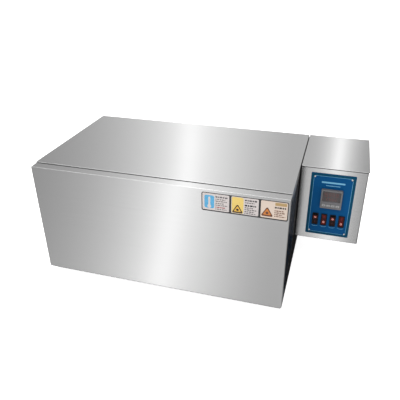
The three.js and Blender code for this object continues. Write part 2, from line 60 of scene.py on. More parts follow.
# Of each strip in the tent: the axis that it crosses, the sine of its angle from the plane square to
# that axis, half its width in the same measure, and its strength. A negative strip is darker than the tent.
STRIPS = (
    ((1, 0, -0.02), -0.29, 0.17, 1.04),
    ((1, 0, -0.02), -0.302, 0.026, 0.52),
    ((1, 0, 0), 0.010, 0.027, 0.95),
    ((1, 0, 0), 0.010, 0.006, 0.68),
    ((1, 0, 0), -1.0, 0.09, 0.6),
    ((1, 0, 0), 1.0, 0.10, 0.5),
    ((0, 0.76, 0.65), 1.0, 0.6, -0.025),
    ((0, 1, 0), 0.12, 0.10, 0.6),
)
TENT = 0.15
FLOOR_GLOW = 0.85
FLOOR_REACH = 40
DARK_CARD_LEVEL = -4 * MM
# The lines of words on each card: height over the card's lower edge, thickness, both in mm, and material.
WORDS = {
    1: (
        (33, 3.4, 4), (27.5, 2.2, 4), (23, 2.2, 4), (18, 2.2, 4),
        (13.6, 2.2, 4), (8.6, 2.6, 5), (4, 2.0, 4),
    ),
    2: (
        (34, 3.4, 4), (28.5, 2.2, 5), (22, 3.8, 4), (16.6, 2.4, 5),
        (12.2, 2.4, 5), (7.6, 2.4, 5), (3.4, 2.0, 5),
    ),
    3: ((26.5, 3.8, 4), (19, 2.4, 5), (14.6, 2.4, 5), (10.2, 2.4, 5), (6, 2.0, 5)),
}
# A domed screw head from its top to its middle: shares of its radius and height.
DOME = ((0, 1), (0.3, 0.98), (0.62, 0.86), (0.86, 0.6), (1, 0.25), (1, 0), (0, 0))
# How far each rocker is tipped at rest, in degrees.
REST_TILT = 9
# A face whose normal has more than this along an axis is square to that axis.
FLAT = 0.99
scene = bpy.context.scene


# ---------- camera, light and floor ----------

def add_camera():
    """Looks down on the front from a little to the right, as one stands before a bench."""
    azimuth, elevation, roll = (math.radians(a) for a in (17.222, 28.838, -0.755))
    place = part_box("outer_shell")[0] + Vector((0.66987, -0.83936, 0.74066))
    level = math.cos(elevation)
    back = Vector((math.sin(azimuth) * level, -math.cos(azimuth) * level, math.sin(elevation)))
    right = (-back).cross(Vector((0, 0, 1))).normalized()
    up = right.cross(-back)
    tilted_right = math.cos(roll) * right + math.sin(roll) * up
    tilted_up = -math.sin(roll) * right + math.cos(roll) * up
    data = bpy.data.cameras.new("camera")
    data.sensor_width = 36
    data.lens = 42.594
    data.clip_start = 0.05
    data.clip_end = 60
    camera = bpy.data.objects.new("camera", data)
    axes = Matrix((tilted_right, tilted_up, back)).transposed().to_4x4()
    camera.matrix_world = Matrix.Translation(place) @ axes
    scene.collection.objects.link(camera)
    scene.camera = camera


def add_light(name, kind, direction, strength):
    """A light that comes from a direction."""
    data = bpy.data.lights.new(name, kind)
    data.energy = strength
    light = bpy.data.objects.new(name, data)
    light.rotation_mode = "QUATERNION"
    light.rotation_quaternion = Vector(direction).to_track_quat("Z", "Y")
    scene.collection.objects.link(light)
    return light


def add_sun(name, direction, spread, strength):
    """A soft, even light from one direction that no metal mirrors."""
    sun = add_light(name, "SUN", direction, strength)
    sun.data.angle = math.radians(spread)
    sun.visible_glossy = False


def add_softbox(name, direction, distance, size, power, aim=(0, 0, 0.2)):
    """A rectangle of light that faces the aim point from a direction at a distance."""
    light = add_light(name, "AREA", direction, power)
    light.data.shape = "RECTANGLE"
    light.data.size, light.data.size_y = size
    light.location = Vector(aim) + Vector(direction).normalized() * distance


def added(tree, operation, *values):
    """A math node on numbers and sockets."""
    node = tree.nodes.new("ShaderNodeMath")
    node.operation = operation
    for socket, value in zip(node.inputs, values):
        if isinstance(value, (int, float)):
            socket.default_value = value
        else:
            tree.links.new(value, socket)
    return node.outputs[0]


def strip_light(tree, direction, axis, middle, half_width, strength):
    """The light of a long strip that crosses an axis at right angles, soft at both edges."""
    across = tree.nodes.new("ShaderNodeVectorMath")
    across.operation = "DOT_PRODUCT"
    across.inputs[1].default_value = axis
    tree.links.new(direction, across.inputs[0])
    away = added(tree, "DIVIDE", added(tree, "SUBTRACT", across.outputs["Value"], middle), half_width)
    return added(tree, "DIVIDE", strength, added(tree, "ADD", added(tree, "MULTIPLY", away, away), 1.0))


def add_world():
    """A light tent with soft strips in it, white where the camera looks past the object."""
    world = bpy.data.worlds.new("studio")
    world.use_nodes = True
    tree = world.node_tree
    nodes, link = tree.nodes, tree.links.new
    nodes.clear()
    direction = nodes.new("ShaderNodeTexCoord").outputs["Generated"]
    total = TENT
    for strip in STRIPS:
        total = added(tree, "ADD", total, strip_light(tree, direction, *strip))
    lit, seen = (nodes.new("ShaderNodeBackground") for _ in range(2))
    for background in (lit, seen):
        background.inputs["Color"].default_value = (1, 1, 1, 1)
    link(total, lit.inputs["Strength"])
    path = nodes.new("ShaderNodeLightPath")
    mix = nodes.new("ShaderNodeMixShader")
    link(path.outputs["Is Camera Ray"], mix.inputs["Fac"])
    link(lit.outputs[0], mix.inputs[1])
    link(seen.outputs[0], mix.inputs[2])
    link(mix.outputs[0], nodes.new("ShaderNodeOutputWorld").inputs["Surface"])
    scene.world = world


def add_ground(name, near, far, z, mat, mirrored):
    """A flat sheet round the object, between two corners at a level."""
    bm = bmesh.new()
    bmesh.ops.create_grid(bm, x_segments=2, y_segments=2, size=0.5)
    middle = Matrix.Translation(((near[0] + far[0]) / 2, (near[1] + far[1]) / 2, z))
    bm.transform(middle @ Matrix.Diagonal((far[0] - near[0], far[1] - near[1], 1, 1)))
    ground = new_object(name, bm)
    ground.data.materials.append(mat)
    ground.visible_glossy = mirrored


def add_floor():
    """A pale bench lit from below as well, which the steel doesn't mirror, and dark cards that it does."""
    glow = {"Emission_Color": (1, 1, 1, 1), "Emission_Strength": FLOOR_GLOW}
    pale, _ = material("floor_pale", (0.86, 0.86, 0.86), 0.8, Specular_IOR_Level=0.1, **glow)
    add_ground("floor", (-FLOOR_REACH, -FLOOR_REACH), (FLOOR_REACH, FLOOR_REACH), 0, pale, False)
    black, _ = material("card_black", (0.004, 0.004, 0.004), 1.0, Specular_IOR_Level=0.0)
    low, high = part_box("outer_shell")
    spans = {
        "dark_card": ((high.x, -0.1), (high.x + 0.34, 0.59)),
        "dark_card_under": ((low.x, low.y - 8 * MM), (high.x, high.y)),
    }
    for name, (near, far) in spans.items():
        add_ground(name, near, far, DARK_CARD_LEVEL, black, True)


# ---------- materials ----------

def material(name, color, roughness, metallic=0.0, **sockets):
    mat = bpy.data.materials.new(name)
    mat.use_nodes = True
    bsdf = mat.node_tree.nodes["Principled BSDF"]
    bsdf.inputs["Base Color"].default_value = (*color, 1)
    bsdf.inputs["Roughness"].default_value = roughness
    bsdf.inputs["Metallic"].default_value = metallic
    for socket, value in sockets.items():
        bsdf.inputs[socket.replace("_", " ")].default_value = value
    return mat, bsdf


def noise_of(mat, scale, detail, seed=0.0, stretch=(1, 1, 1)):
    """A noise in the object's own coordinates, stretched along each axis."""
    nodes, link = mat.node_tree.nodes, mat.node_tree.links.new
    mapping = nodes.new("ShaderNodeMapping")
    mapping.inputs["Scale"].default_value = stretch
    mapping.inputs["Location"].default_value = (seed, seed * 0.37, seed * 0.71)
    noise = nodes.new("ShaderNodeTexNoise")
    noise.inputs["Scale"].default_value = scale
    noise.inputs["Detail"].default_value = detail
    link(nodes.new("ShaderNodeTexCoord").outputs["Object"], mapping.inputs["Vector"])
    link(mapping.outputs["Vector"], noise.inputs["Vector"])
    return noise.outputs["Fac"]


def ramped(mat, factor, middle, spread):
    """A number that a factor carries from a little below a middle value to as much above it."""
    ranged = mat.node_tree.nodes.new("ShaderNodeMapRange")
    ranged.inputs["From Min"].default_value = 0.3
    ranged.inputs["From Max"].default_value = 0.7
    ranged.inputs["To Min"].default_value = middle - spread
    ranged.inputs["To Max"].default_value = middle + spread
    mat.node_tree.links.new(factor, ranged.inputs["Value"])
    return ranged.outputs["Result"]


def tinted(mat, bsdf, factor, dark, light):
    """Base colour between two close colours."""
    ramp = mat.node_tree.nodes.new("ShaderNodeValToRGB")
    for element, position, color in zip(ramp.color_ramp.elements, (0.3, 0.7), (dark, light)):
        element.position = position
        element.color = (*color, 1)
    mat.node_tree.links.new(factor, ramp.inputs["Fac"])
    mat.node_tree.links.new(ramp.outputs["Color"], bsdf.inputs["Base Color"])


def shaded(color, share):
    return tuple(c * share for c in color)


def brushed_steel(name, shade, roughness, streak, grain=(6, 900, 900), painted_edge_shade=1.0):
    """Sheet ground in one direction: streaks along the grain and a highlight drawn out across it. An edge
    shade below one paints shade on it, darkening what it mirrors at a grazing angle.
    """
    tint = (painted_edge_shade, painted_edge_shade, painted_edge_shade, 1)
    mat, bsdf = material(name, shade, roughness, 1.0, Anisotropic=1.0, Specular_Tint=tint)
    tree = mat.node_tree
    streaks = noise_of(mat, 1.0, 2.0, stretch=grain)
    clouds = noise_of(mat, 1.0, 2.0, 5.0, stretch=(3, 3, 3))
    tinted(mat, bsdf, streaks, shaded(shade, 0.965), shade)
    rough = added(tree, "ADD", ramped(mat, streaks, roughness, streak), ramped(mat, clouds, 0, 0.012))
    tree.links.new(rough, bsdf.inputs["Roughness"])
    tangent = tree.nodes.new("ShaderNodeTangent")
    tangent.direction_type = "UV_MAP"
    tangent.uv_map = "grain"
    tree.links.new(tangent.outputs["Tangent"], bsdf.inputs["Tangent"])
    return mat


def plain_steel(name, shade, roughness, mottle=0.05):
    mat, bsdf = material(name, shade, roughness, 1.0)
    marks = noise_of(mat, 180, 4)
    mat.node_tree.links.new(ramped(mat, marks, roughness, mottle), bsdf.inputs["Roughness"])
    tinted(mat, bsdf, marks, shaded(shade, 0.93), shade)
    return mat


def moulded(name, color, roughness, grain=900, depth=0.02, specular=0.5):
    """Moulded plastic or rubber with a fine spark-eroded texture, its depth in mm."""
    mat, bsdf = material(name, color, roughness, 0.0, Specular_IOR_Level=specular)
    link = mat.node_tree.links.new
    texture = noise_of(mat, grain, 2)
    clouds = noise_of(mat, 14, 2, 3.0)
    tinted(mat, bsdf, clouds, shaded(color, 0.9), color)
    link(ramped(mat, texture, roughness, 0.05), bsdf.inputs["Roughness"])
    bump = mat.node_tree.nodes.new("ShaderNodeBump")
    bump.inputs["Strength"].default_value = 0.25
    bump.inputs["Distance"].default_value = depth * MM
    link(texture, bump.inputs["Height"])
    link(bump.outputs["Normal"], bsdf.inputs["Normal"])
    return mat


def rocker_red(name, dark, light):
    """Tinted clear plastic over a lamp: deep red, glossy, light passing a little way in."""
    depth = {"Subsurface_Weight": 0.2, "Subsurface_Radius": (1, 0.12, 0.06), "Subsurface_Scale": 2 * MM}
    gloss = {"Specular_IOR_Level": 0.12, "Coat_Weight": 0.08, "Coat_Roughness": 0.12}
    mat, bsdf = material(name, light, 0.3, **depth, **gloss)
    tinted(mat, bsdf, noise_of(mat, 120, 2), dark, light)
    return mat


def make_materials():
    made = {
        "steel": brushed_steel("steel_brushed", (0.60, 0.60, 0.60), 0.21, 0.012),
        "steel_tank": brushed_steel("steel_tank", (0.55, 0.55, 0.555), 0.32, 0.02),
        # The ends get steel with a dark edge tint: painted shade, so they stay dark where seen edge-on.
        "side": brushed_steel("steel_side", (0.60, 0.60, 0.60), 0.26, 0.015, (900, 6, 900), 0.1),
        "fitting": plain_steel("steel_fitting", (0.50, 0.50, 0.505), 0.32),
        "chrome": plain_steel("chrome", (0.78, 0.78, 0.79), 0.14, 0.03),
        "brass": plain_steel("brass_turned", (0.66, 0.50, 0.24), 0.26),
        "black": moulded("plastic_black", (0.008, 0.008, 0.009), 0.42, specular=0.12),
        "rubber": moulded("rubber_black", (0.018, 0.018, 0.019), 0.8, 700, 0.05),
        "nylon": moulded("nylon_black", (0.02, 0.02, 0.022), 0.5),
        "case": moulded("controller_grey", (0.11, 0.108, 0.115), 0.5),
        "key": moulded("key_grey", (0.27, 0.27, 0.27), 0.5),
        "lever": moulded("lever_red", (0.42, 0.02, 0.015), 0.32, 200, 0.05),
        "seal": moulded("silicone_seal", (0.55, 0.54, 0.50), 0.55, 300),
        "foam": moulded("foam_black", (0.008, 0.008, 0.009), 0.95, 500, 0.1, 0.1),
        "wool": moulded("mineral_wool", (0.60, 0.52, 0.28), 0.95, 260, 0.6),
        "terminal": moulded("terminal_cream", (0.62, 0.58, 0.46), 0.5),
        "film": moulded("film_white", (0.43, 0.395, 0.385), 0.5, 400, 0.01, 0.2),
        "film_pink": moulded("film_pink", (0.47, 0.39, 0.33), 0.5, 400, 0.01, 0.2),
        "blue": moulded("panel_blue", (0.0006, 0.052, 0.155), 0.5, 900, 0.01, 0.05),
        "teal": moulded("panel_border", (0.0015, 0.042, 0.083), 0.5, 900, 0.01, 0.05),
        "pale": moulded("panel_line", (0.13, 0.33, 0.48), 0.5, 900, 0.01, 0.05),
        "rocker": rocker_red("rocker_red", (0.032, 0.001, 0.001), (0.095, 0.002, 0.002)),
        # A darker copy of the rocker red: painted shade for a pressed half sunk in its bezel.
        "rocker_dark": rocker_red("rocker_dark", (0.006, 0.001, 0.001), (0.018, 0.001, 0.001)),
        "smoked": material("window_smoked", (0.012, 0.006, 0.007), 0.08, 0.0, Coat_Weight=0.3)[0],
    }
    inks = {
        "ink": ("ink_black", (0.012, 0.012, 0.014), 0.4),
        "ink_grey": ("ink_grey", (0.085, 0.078, 0.082), 0.45),
        "ink_red": ("ink_red", (0.24, 0.055, 0.055), 0.45),
        "ink_brown": ("ink_brown", (0.04, 0.018, 0.007), 0.45),
        "ink_rust": ("ink_rust", (0.10, 0.030, 0.010), 0.45),
        "ink_gold": ("ink_gold", (0.30, 0.20, 0.08), 0.45),
        "ink_sky": ("ink_sky", (0.055, 0.26, 0.44), 0.4),
        "ink_yellow": ("ink_yellow", (0.54, 0.39, 0.10), 0.45),
        "ink_amber": ("ink_amber", (0.52, 0.30, 0.03), 0.45),
        "ink_orange": ("ink_orange", (0.42, 0.13, 0.012), 0.45),
        # Rocker marks: printed, but the bright salmon is a painted glint on a raised half and the dim red is
        # painted shade on a pressed half.
        "mark": ("rocker_mark", (0.62, 0.26, 0.22), 0.4),
        "mark_dim": ("rocker_mark_dim", (0.10, 0.018, 0.018), 0.4),
        "digit": ("digit_off", (0.10, 0.018, 0.016), 0.3),
    }
    for key, look in inks.items():
        made[key] = moulded(*look, 400, 0.01)
    return made


# ---------- places and outlines ----------

def middle_of(node):
    low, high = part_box(node)
    return (low + high) / 2


def near(a, b):
    return abs(a - b) < 0.01 * MM


def mm(*pairs):
    """Pairs of millimetres in metres."""
    return [(a * MM, b * MM) for a, b in pairs]


def circle(u, v, radius, steps=24):
    turns = [2 * math.pi * i / steps for i in range(steps)]
    return [(u + radius * math.cos(a), v + radius * math.sin(a)) for a in turns]


def rounded(u0, u1, v0, v1, radius, steps=6):
    """Points round a rectangle with round corners."""
    left, right, bottom, top = u0 + radius, u1 - radius, v0 + radius, v1 - radius
    points = []
    for quarter, (u, v) in enumerate(((right, bottom), (right, top), (left, top), (left, bottom))):
        for i in range(steps + 1):
            a = math.pi / 2 * (quarter - 1 + i / steps)
            points.append((u + radius * math.cos(a), v + radius * math.sin(a)))
    return points


def about(u, v, half_u, half_v, radius, steps=3):
    """A rectangle with round corners about a point. Its half sides and its radius are in mm."""
    u0, u1 = u - half_u * MM, u + half_u * MM
    return rounded(u0, u1, v - half_v * MM, v + half_v * MM, radius * MM, steps)


def outline_of(box, axis, radius, steps, grow=0.0):
    """The outline of a box seen along an axis, grown and with round corners, both in mm."""
    (u0, v0), (u1, v1) = ([corner[k] for k in range(3) if "XYZ"[k] != axis] for corner in box)
    g = grow * MM
    return rounded(u0 - g, u1 + g, v0 - g, v1 + g, radius * MM, steps)


# ---------- mesh tools ----------

def new_object(name, bm):
    mesh = bpy.data.meshes.new(name)
    bm.to_mesh(mesh)
    bm.free()
    obj = bpy.data.objects.new(name, mesh)
    scene.collection.objects.link(obj)
    return obj


def mesh_of(obj):
    bm = bmesh.new()
    bm.from_mesh(obj.data)
    return bm


def put_back(bm, obj):
    bm.to_mesh(obj.data)
    bm.free()


def join(bm, obj):
    """Moves the mesh of a piece into another mesh."""
    bm.from_mesh(obj.data)
    bpy.data.objects.remove(obj)


def taken(*objs):
    """The meshes of some pieces in one, ready for more to be added, without the pieces."""
    bm = bmesh.new()
    for obj in objs:
        join(bm, obj)
    return bm


def applied(obj):
    """Turns the modifiers of a piece into its mesh."""
    graph = bpy.context.evaluated_depsgraph_get()
    graph.update()
    mesh = bpy.data.meshes.new_from_object(obj.evaluated_get(graph))
    old = obj.data
    obj.modifiers.clear()
    obj.data = mesh
    bpy.data.meshes.remove(old)
    return obj


def grain_map(mesh):
    """Texture coordinates in metres. The first runs across the grain, which is along X, or Y on the ends."""
    layer = mesh.uv_layers.get("grain") or mesh.uv_layers.new(name="grain")
    for polygon in mesh.polygons:
        n = polygon.normal
        side = abs(n.x) > 0.75
        level = abs(n.z) > abs(n.y)
        for corner in polygon.loop_indices:
            p = mesh.vertices[mesh.loops[corner].vertex_index].co
            if side:
                layer.data[corner].uv = (p.z, p.y)
            else:
                layer.data[corner].uv = (p.y if level else p.z, p.x)


def finished(obj, looks, body, stands_for=(), angle=35):
    """Gives a piece its shading, materials and body, and hides the nodes that it stands for."""
    mesh = obj.data
    for look in looks.split():
        mesh.materials.append(M[look])
    mesh.polygons.foreach_set("use_smooth", [True] * len(mesh.polygons))
    mesh.set_sharp_from_angle(angle=math.radians(angle))
    weighted = obj.modifiers.new("weighted", "WEIGHTED_NORMAL")
    weighted.keep_sharp = True
    weighted.mode = "FACE_AREA"
    grain_map(mesh)
    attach(obj, body)
    if stands_for:
        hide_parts(*stands_for)
    return obj


def bevelled(obj, width, segments, angle):
    """Softens the edges that are sharper than an angle."""
    bevel = obj.modifiers.new("bevel", "BEVEL")
    bevel.width = width
    bevel.segments = segments
    bevel.limit_method = "ANGLE"
    bevel.angle_limit = math.radians(angle)
    bevel.use_clamp_overlap = True
    return applied(obj)


def weigh_edges(bm, share_of):
    """Gives every edge its share of the widest bend."""
    weights = bm.edges.layers.float.new("bevel_weight_edge")
    for edge in bm.edges:
        edge[weights] = share_of(edge)


def bent(obj, widest, segments=6):
    """Rounds each edge by its share of the widest bend."""
    bevel = obj.modifiers.new("bends", "BEVEL")
    bevel.limit_method = "WEIGHT"
    bevel.width = widest
    bevel.segments = segments
    return applied(obj)


def sheeted(obj, thickness, even=False):
    """Gives the faces of a piece the thickness of a sheet, inwards."""
    solidify = obj.modifiers.new("sheet", "SOLIDIFY")
    solidify.thickness = thickness
    solidify.offset = -1
    solidify.use_even_offset = even
    return applied(obj)


def cut_out(obj, cutter):
    """Cuts a mesh of closed blocks out of a piece."""
    tool = new_object("cutter", cutter)
    boolean = obj.modifiers.new("cut", "BOOLEAN")
    boolean.operation = "DIFFERENCE"
    boolean.solver = "EXACT"
    boolean.object = tool
    applied(obj)
    bpy.data.objects.remove(tool)
    return obj


def bridged(bm, one, two):
    """Faces between two rings of points. A ring of one point is a tip."""
    faces = []
    count = max(len(one), len(two))
    for i in range(count):
        j = (i + 1) % count
        corners = [one[i % len(one)], one[j % len(one)], two[j % len(two)], two[i % len(two)]]
        unique = list(dict.fromkeys(corners))
        if len(unique) > 2:
            faces.append(bm.faces.new(unique))
    return faces


def closed(bm, faces, index=0):
    """Turns the faces of a closed shape outwards and gives them a material."""
    for face in faces:
        face.material_index = index
    bmesh.ops.recalc_face_normals(bm, faces=faces)
    return faces


def add_prism(bm, outline, axis, low, high, index=0):
    """A closed prism: an outline in the two other coordinates, drawn out along an axis."""
    def at(u, v, w):
        return {"X": (w, u, v), "Y": (u, w, v), "Z": (u, v, w)}[axis]

    first, last = ([bm.verts.new(at(u, v, w)) for u, v in outline] for w in (low, high))
    faces = [bm.faces.new(first), bm.faces.new(last)]
    return closed(bm, faces + bridged(bm, first, last), index)


def add_block(bm, low, high, index=0):
    outline = [(low[0], low[1]), (high[0], low[1]), (high[0], high[1]), (low[0], high[1])]
    return add_prism(bm, outline, "Z", low[2], high[2], index)


def plate(name, outer, holes, axis, low, high, bevel=0.0):
    """A flat plate with holes and softened edges, its outline in the two other coordinates."""
    curve = bpy.data.curves.new(name, "CURVE")
    curve.dimensions = "2D"
    curve.fill_mode = "BOTH"
    curve.extrude = (high - low) / 2 - bevel
    curve.bevel_depth = bevel
    curve.offset = -bevel
    curve.bevel_resolution = 1
    for loop in (outer, *holes):
        spline = curve.splines.new("POLY")
        spline.points.add(len(loop) - 1)
        for point, (u, v) in zip(spline.points, loop):
            point.co = (u, v, 0, 1)
        spline.use_cyclic_u = True
    drawn = bpy.data.objects.new(name, curve)
    scene.collection.objects.link(drawn)
    graph = bpy.context.evaluated_depsgraph_get()
    mesh = bpy.data.meshes.new_from_object(drawn.evaluated_get(graph))
    bpy.data.objects.remove(drawn)
    middle = (low + high) / 2
    turn = {
        "X": Matrix(((0, 0, 1, middle), (1, 0, 0, 0), (0, 1, 0, 0), (0, 0, 0, 1))),
        "Y": Matrix(((1, 0, 0, 0), (0, 0, -1, middle), (0, 1, 0, 0), (0, 0, 0, 1))),
        "Z": Matrix.Translation((0, 0, middle)),
    }[axis]
    bm = bmesh.new()
    bm.from_mesh(mesh)
    bpy.data.meshes.remove(mesh)
    bmesh.ops.remove_doubles(bm, verts=bm.verts, dist=1e-6)
    bm.transform(turn)
    bmesh.ops.recalc_face_normals(bm, faces=bm.faces)
    return new_object(name, bm)


def add_lathe(bm, profile, origin, axis, steps=40, index=0):
    """Turns [radius, distance] pairs about an axis, from the axis back to it or round to the first pair."""
    units = Matrix.Identity(3)
    a, b, c = (units[("XYZ".index(axis) + step) % 3].copy() for step in (1, 2, 0))
    origin = Vector(origin)
    loop = profile[0] == profile[-1]
    rings = []
    for radius, along in profile[:-1] if loop else profile:
        foot = origin + c * along
        if radius < 1e-9:
            rings.append([bm.verts.new(foot)])
        else:
            rings.append([bm.verts.new(foot + a * u + b * v) for u, v in circle(0, 0, radius, steps)])
    faces = []
    for one, two in zip(rings, rings[1:] + (rings[:1] if loop else [])):
        faces += bridged(bm, one, two)
    return closed(bm, faces, index)


def lathed(name, profile, origin, axis, steps):
    bm = bmesh.new()
    add_lathe(bm, profile, origin, axis, steps)
    return new_object(name, bm)


def add_rod(bm, radius, reach, at, axis, steps=40):
    """A round cutter through a wall. Its radius, and how far it reaches on both sides, are in mm."""
    add_lathe(bm, mm((0, -reach), (radius, -reach), (radius, reach), (0, reach)), at, axis, steps)


def add_tube(bm, points, radius, steps):
    """A round tube along a line of points, closed at both ends."""
    points = [Vector(p) for p in points]
    rings = []
    side = None
    for i, p in enumerate(points):
        ahead = (points[min(i + 1, len(points) - 1)] - points[max(i - 1, 0)]).normalized()
        if side is None:
            side = ahead.orthogonal().normalized()
        side = (side - ahead * side.dot(ahead)).normalized()
        other = ahead.cross(side)
        rings.append([bm.verts.new(p + side * u + other * v) for u, v in circle(0, 0, radius, steps)])
    faces = [bm.faces.new(rings[0]), bm.faces.new(rings[-1])]
    for one, two in zip(rings, rings[1:]):
        faces += bridged(bm, one, two)
    closed(bm, faces)


def folded_box(name, low, high, open_sides, bends):
    """A box of sheet, open on the named sides. Bends gives the radius, in mm, between two sides."""
    bends = {frozenset(sides.split()): radius for sides, radius in bends.items()}
    widest = max(bends.values())

    def side_of(face):
        k = max(range(3), key=lambda i: abs(face.normal[i]))
        return ("-" if face.normal[k] < 0 else "+") + "xyz"[k]

    def is_open(face):
        side = side_of(face)
        k = "xyz".index(side[1])
        level = (low if side[0] == "-" else high)[k]
        return side in open_sides and abs(face.normal[k]) > FLAT and near(face.calc_center_median()[k], level)

    bm = bmesh.new()
    add_block(bm, low, high)
    weigh_edges(bm, lambda edge: bends.get(frozenset(side_of(f) for f in edge.link_faces), 0.0) / widest)
    obj = bent(new_object(name, bm), widest * MM)
    bm = mesh_of(obj)
    bmesh.ops.delete(bm, geom=[f for f in bm.faces if is_open(f)], context="FACES")
    put_back(bm, obj)
    return sheeted(obj, SHEET, even=True)


# ---------- tank casing ----------

def drain_at(x):
    """The middle of the drain's bore, at a place along the tank."""
    return Vector((x, middle_of("drain_valve_body").y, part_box("drain_valve_ball")[0].z + 7 * MM))


def bushing_at(x):
    middle = middle_of("wire_bushing")
    return Vector((x, middle.y, middle.z))


def casing_bend(edge, low, high, deck, rim_back):
    """The radius of the casing's bend along an edge, in mm."""
    one, two = (v.co for v in edge.verts)
    middle = (one + two) / 2
    along = max(range(3), key=lambda k: abs((two - one)[k]))
    if along == 2:
        at_end = near(middle.x, low.x) or near(middle.x, high.x)
        return 1.6 if at_end and not near(middle.y, rim_back) else 0
    if along == 0 and near(middle.y, low.y):
        return 1.5 if middle.z > deck else 4
    if near(middle.z, high.z):
        return 1.2 if along == 0 else 1
    if near(middle.z, low.z):
        return 4 if along == 0 else 8
    return 0


def tank_casing():
    """The tank's shell with its rim, open under the lid and round the base plate."""
    low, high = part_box("outer_shell")
    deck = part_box("inner_tank")[1].z
    rim_back = low.y + 22.4 * MM
    widest, border = 8, 60
    outline = [
        (low.y, low.z), (high.y, low.z), (high.y, deck),
        (rim_back, deck), (rim_back, high.z), (low.y, high.z),
    ]
    bm = bmesh.new()
    add_prism(bm, outline, "X", low.x, high.x)
    weigh_edges(bm, lambda edge: casing_bend(edge, low, high, deck, rim_back) / widest)
    casing = bent(new_object("tank_casing", bm), widest * MM)
    bm = mesh_of(casing)
    top = [f for f in bm.faces if f.normal.z > FLAT and near(f.calc_center_median().z, deck)]
    bmesh.ops.delete(bm, geom=top, context="FACES")
    floor = [f for f in bm.faces if f.normal.z < -FLAT and f.calc_area() > 0.05]
    bmesh.ops.inset_region(bm, faces=floor, thickness=(border - widest) * MM)
    bmesh.ops.delete(bm, geom=floor, context="FACES")
    # Faces on the two ends take the side steel and its painted edge shade.
    for face in bm.faces:
        x = face.calc_center_median().x
        face.material_index = 1 if near(x, low.x) or near(x, high.x) else 0
    put_back(bm, casing)
    sheeted(casing, SHEET)
    holes = bmesh.new()
    add_rod(holes, 9, 12, drain_at(low.x), "X")
    add_rod(holes, 11.5, 12, bushing_at(high.x), "X")
    cut_out(casing, holes)
    finished(casing, "steel side", BODY, ["outer_shell"])


def lid_pan():
    low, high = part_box("lid_skin")
    bends = {
        "-y +z": 1.2, "+y +z": 1.6, "-x +z": 1, "+x +z": 1,
        "-x -y": 1.2, "+x -y": 1.2, "-x +y": 0.8, "+x +y": 0.8,
    }
    pan = folded_box("lid_pan", low, high, ["-z"], bends)
    finished(pan, "steel", LID, ["lid_skin"])


def lid_underside():
    """The lid's inner panel, pressed with a shallow field inside the seal, and the seal itself."""
    low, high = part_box("lid_inner_panel")
    seal_low, seal_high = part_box("lid_gasket")
    bm = bmesh.new()
    add_block(bm, low, high)
    under = [f for f in bm.faces if f.normal.z < -0.9]
    bmesh.ops.inset_region(bm, faces=under, thickness=seal_low.x - low.x + 12 * MM)
    bmesh.ops.inset_region(bm, faces=under, thickness=6 * MM, depth=-0.5 * MM)
    panel = bevelled(new_object("lid_inner_pan", bm), 0.25 * MM, 2, 15)
    finished(panel, "steel_tank", LID, ["lid_inner_panel"], 30)

    half = 4
    section = rounded(-half * MM, half * MM, 0, seal_high.z - seal_low.z, 1.3 * MM, 3)
    loop = outline_of((seal_low, seal_high), "Z", 26, 8, -half)
    bm = bmesh.new()
    rings = []
    for i, (x, y) in enumerate(loop):
        ahead = (Vector(loop[(i + 1) % len(loop)]) - Vector(loop[i - 1])).normalized()
        rings.append([bm.verts.new((x + ahead.y * s, y - ahead.x * s, seal_low.z + h)) for s, h in section])
    for one, two in zip(rings, rings[1:] + rings[:1]):
        bridged(bm, one, two)
    bmesh.ops.recalc_face_normals(bm, faces=bm.faces)
    finished(new_object("lid_seal", bm), "seal", LID, ["lid_gasket"], 50)


def hinges():
    """Butt hinges with softened leaves, rolled knuckles and three screws in each leaf."""
    radius, bore, clear, thick = 4.5 * MM, 2.15 * MM, 0.25 * MM, 1.5 * MM
    gap, overlap = 1 * MM, 0.5 * MM
    for number in (1, 2):
        pin_low, pin_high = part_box(f"hinge_{number}_pin")
        centre = (pin_low + pin_high) / 2
        start = pin_low.x + 1.5 * MM
        step = (pin_high.x - pin_low.x - 3 * MM) / 5
        for leaf, body, places in (("fixed", BODY, (0, 2, 4)), ("moving", LID, (1, 3))):
            node = f"hinge_{number}_{leaf}_leaf"
            low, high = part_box(node)
            if leaf == "fixed":
                z0, z1 = low.z, centre.z - radius - gap
                arm = (z1 - overlap, centre.z)
            else:
                z0, z1 = centre.z + radius + gap, high.z
                arm = (centre.z, z0 + overlap)
            face = low.y + thick * 0.6
            screw_z = (z0 + z1) / 2
            screw_x = [start + step * 5 * share for share in (0.15, 0.5, 0.85)]
            holes = [circle(x, screw_z, 1.6 * MM, 20) for x in screw_x]
            outline = rounded(start, start + 5 * step, z0, z1, 3 * MM, 4)
            bm = taken(plate("leaf", outline, holes, "Y", low.y, low.y + thick, 0.2 * MM))
            for place in places:
                x0, x1 = start + place * step + clear, start + (place + 1) * step - clear
                knuckle = [(bore, x0), (radius, x0), (radius, x1), (bore, x1), (bore, x0)]
                add_lathe(bm, knuckle, (0, centre.y, centre.z), "X", 28)
                add_block(bm, (x0, low.y, arm[0]), (x1, face, arm[1]))
            made = new_object(f"hinge_{number}_{leaf}", bm)
            finished(made, "fitting", body, [node])
            spots = [(x, face, screw_z) for x in screw_x]
            screw_heads(f"hinge_{number}_{leaf}_screws", spots, 2.6 * MM, 1.5 * MM, "+Y", body)
        half = (pin_high.x - pin_low.x) / 2 / MM
        head, shank = 3.1, 1.95
        profile = mm(
            (0, -half), (head * 0.7, -half), (head, -half + 0.4), (head, -half + 1.1),
            (shank, -half + 1.2), (shank, half - 0.4), (shank * 0.8, half), (0, half),
        )
        pin = lathed(f"hinge_pin_{number}", profile, centre, "X", 24)
        finished(pin, "chrome", BODY, [f"hinge_{number}_pin"])


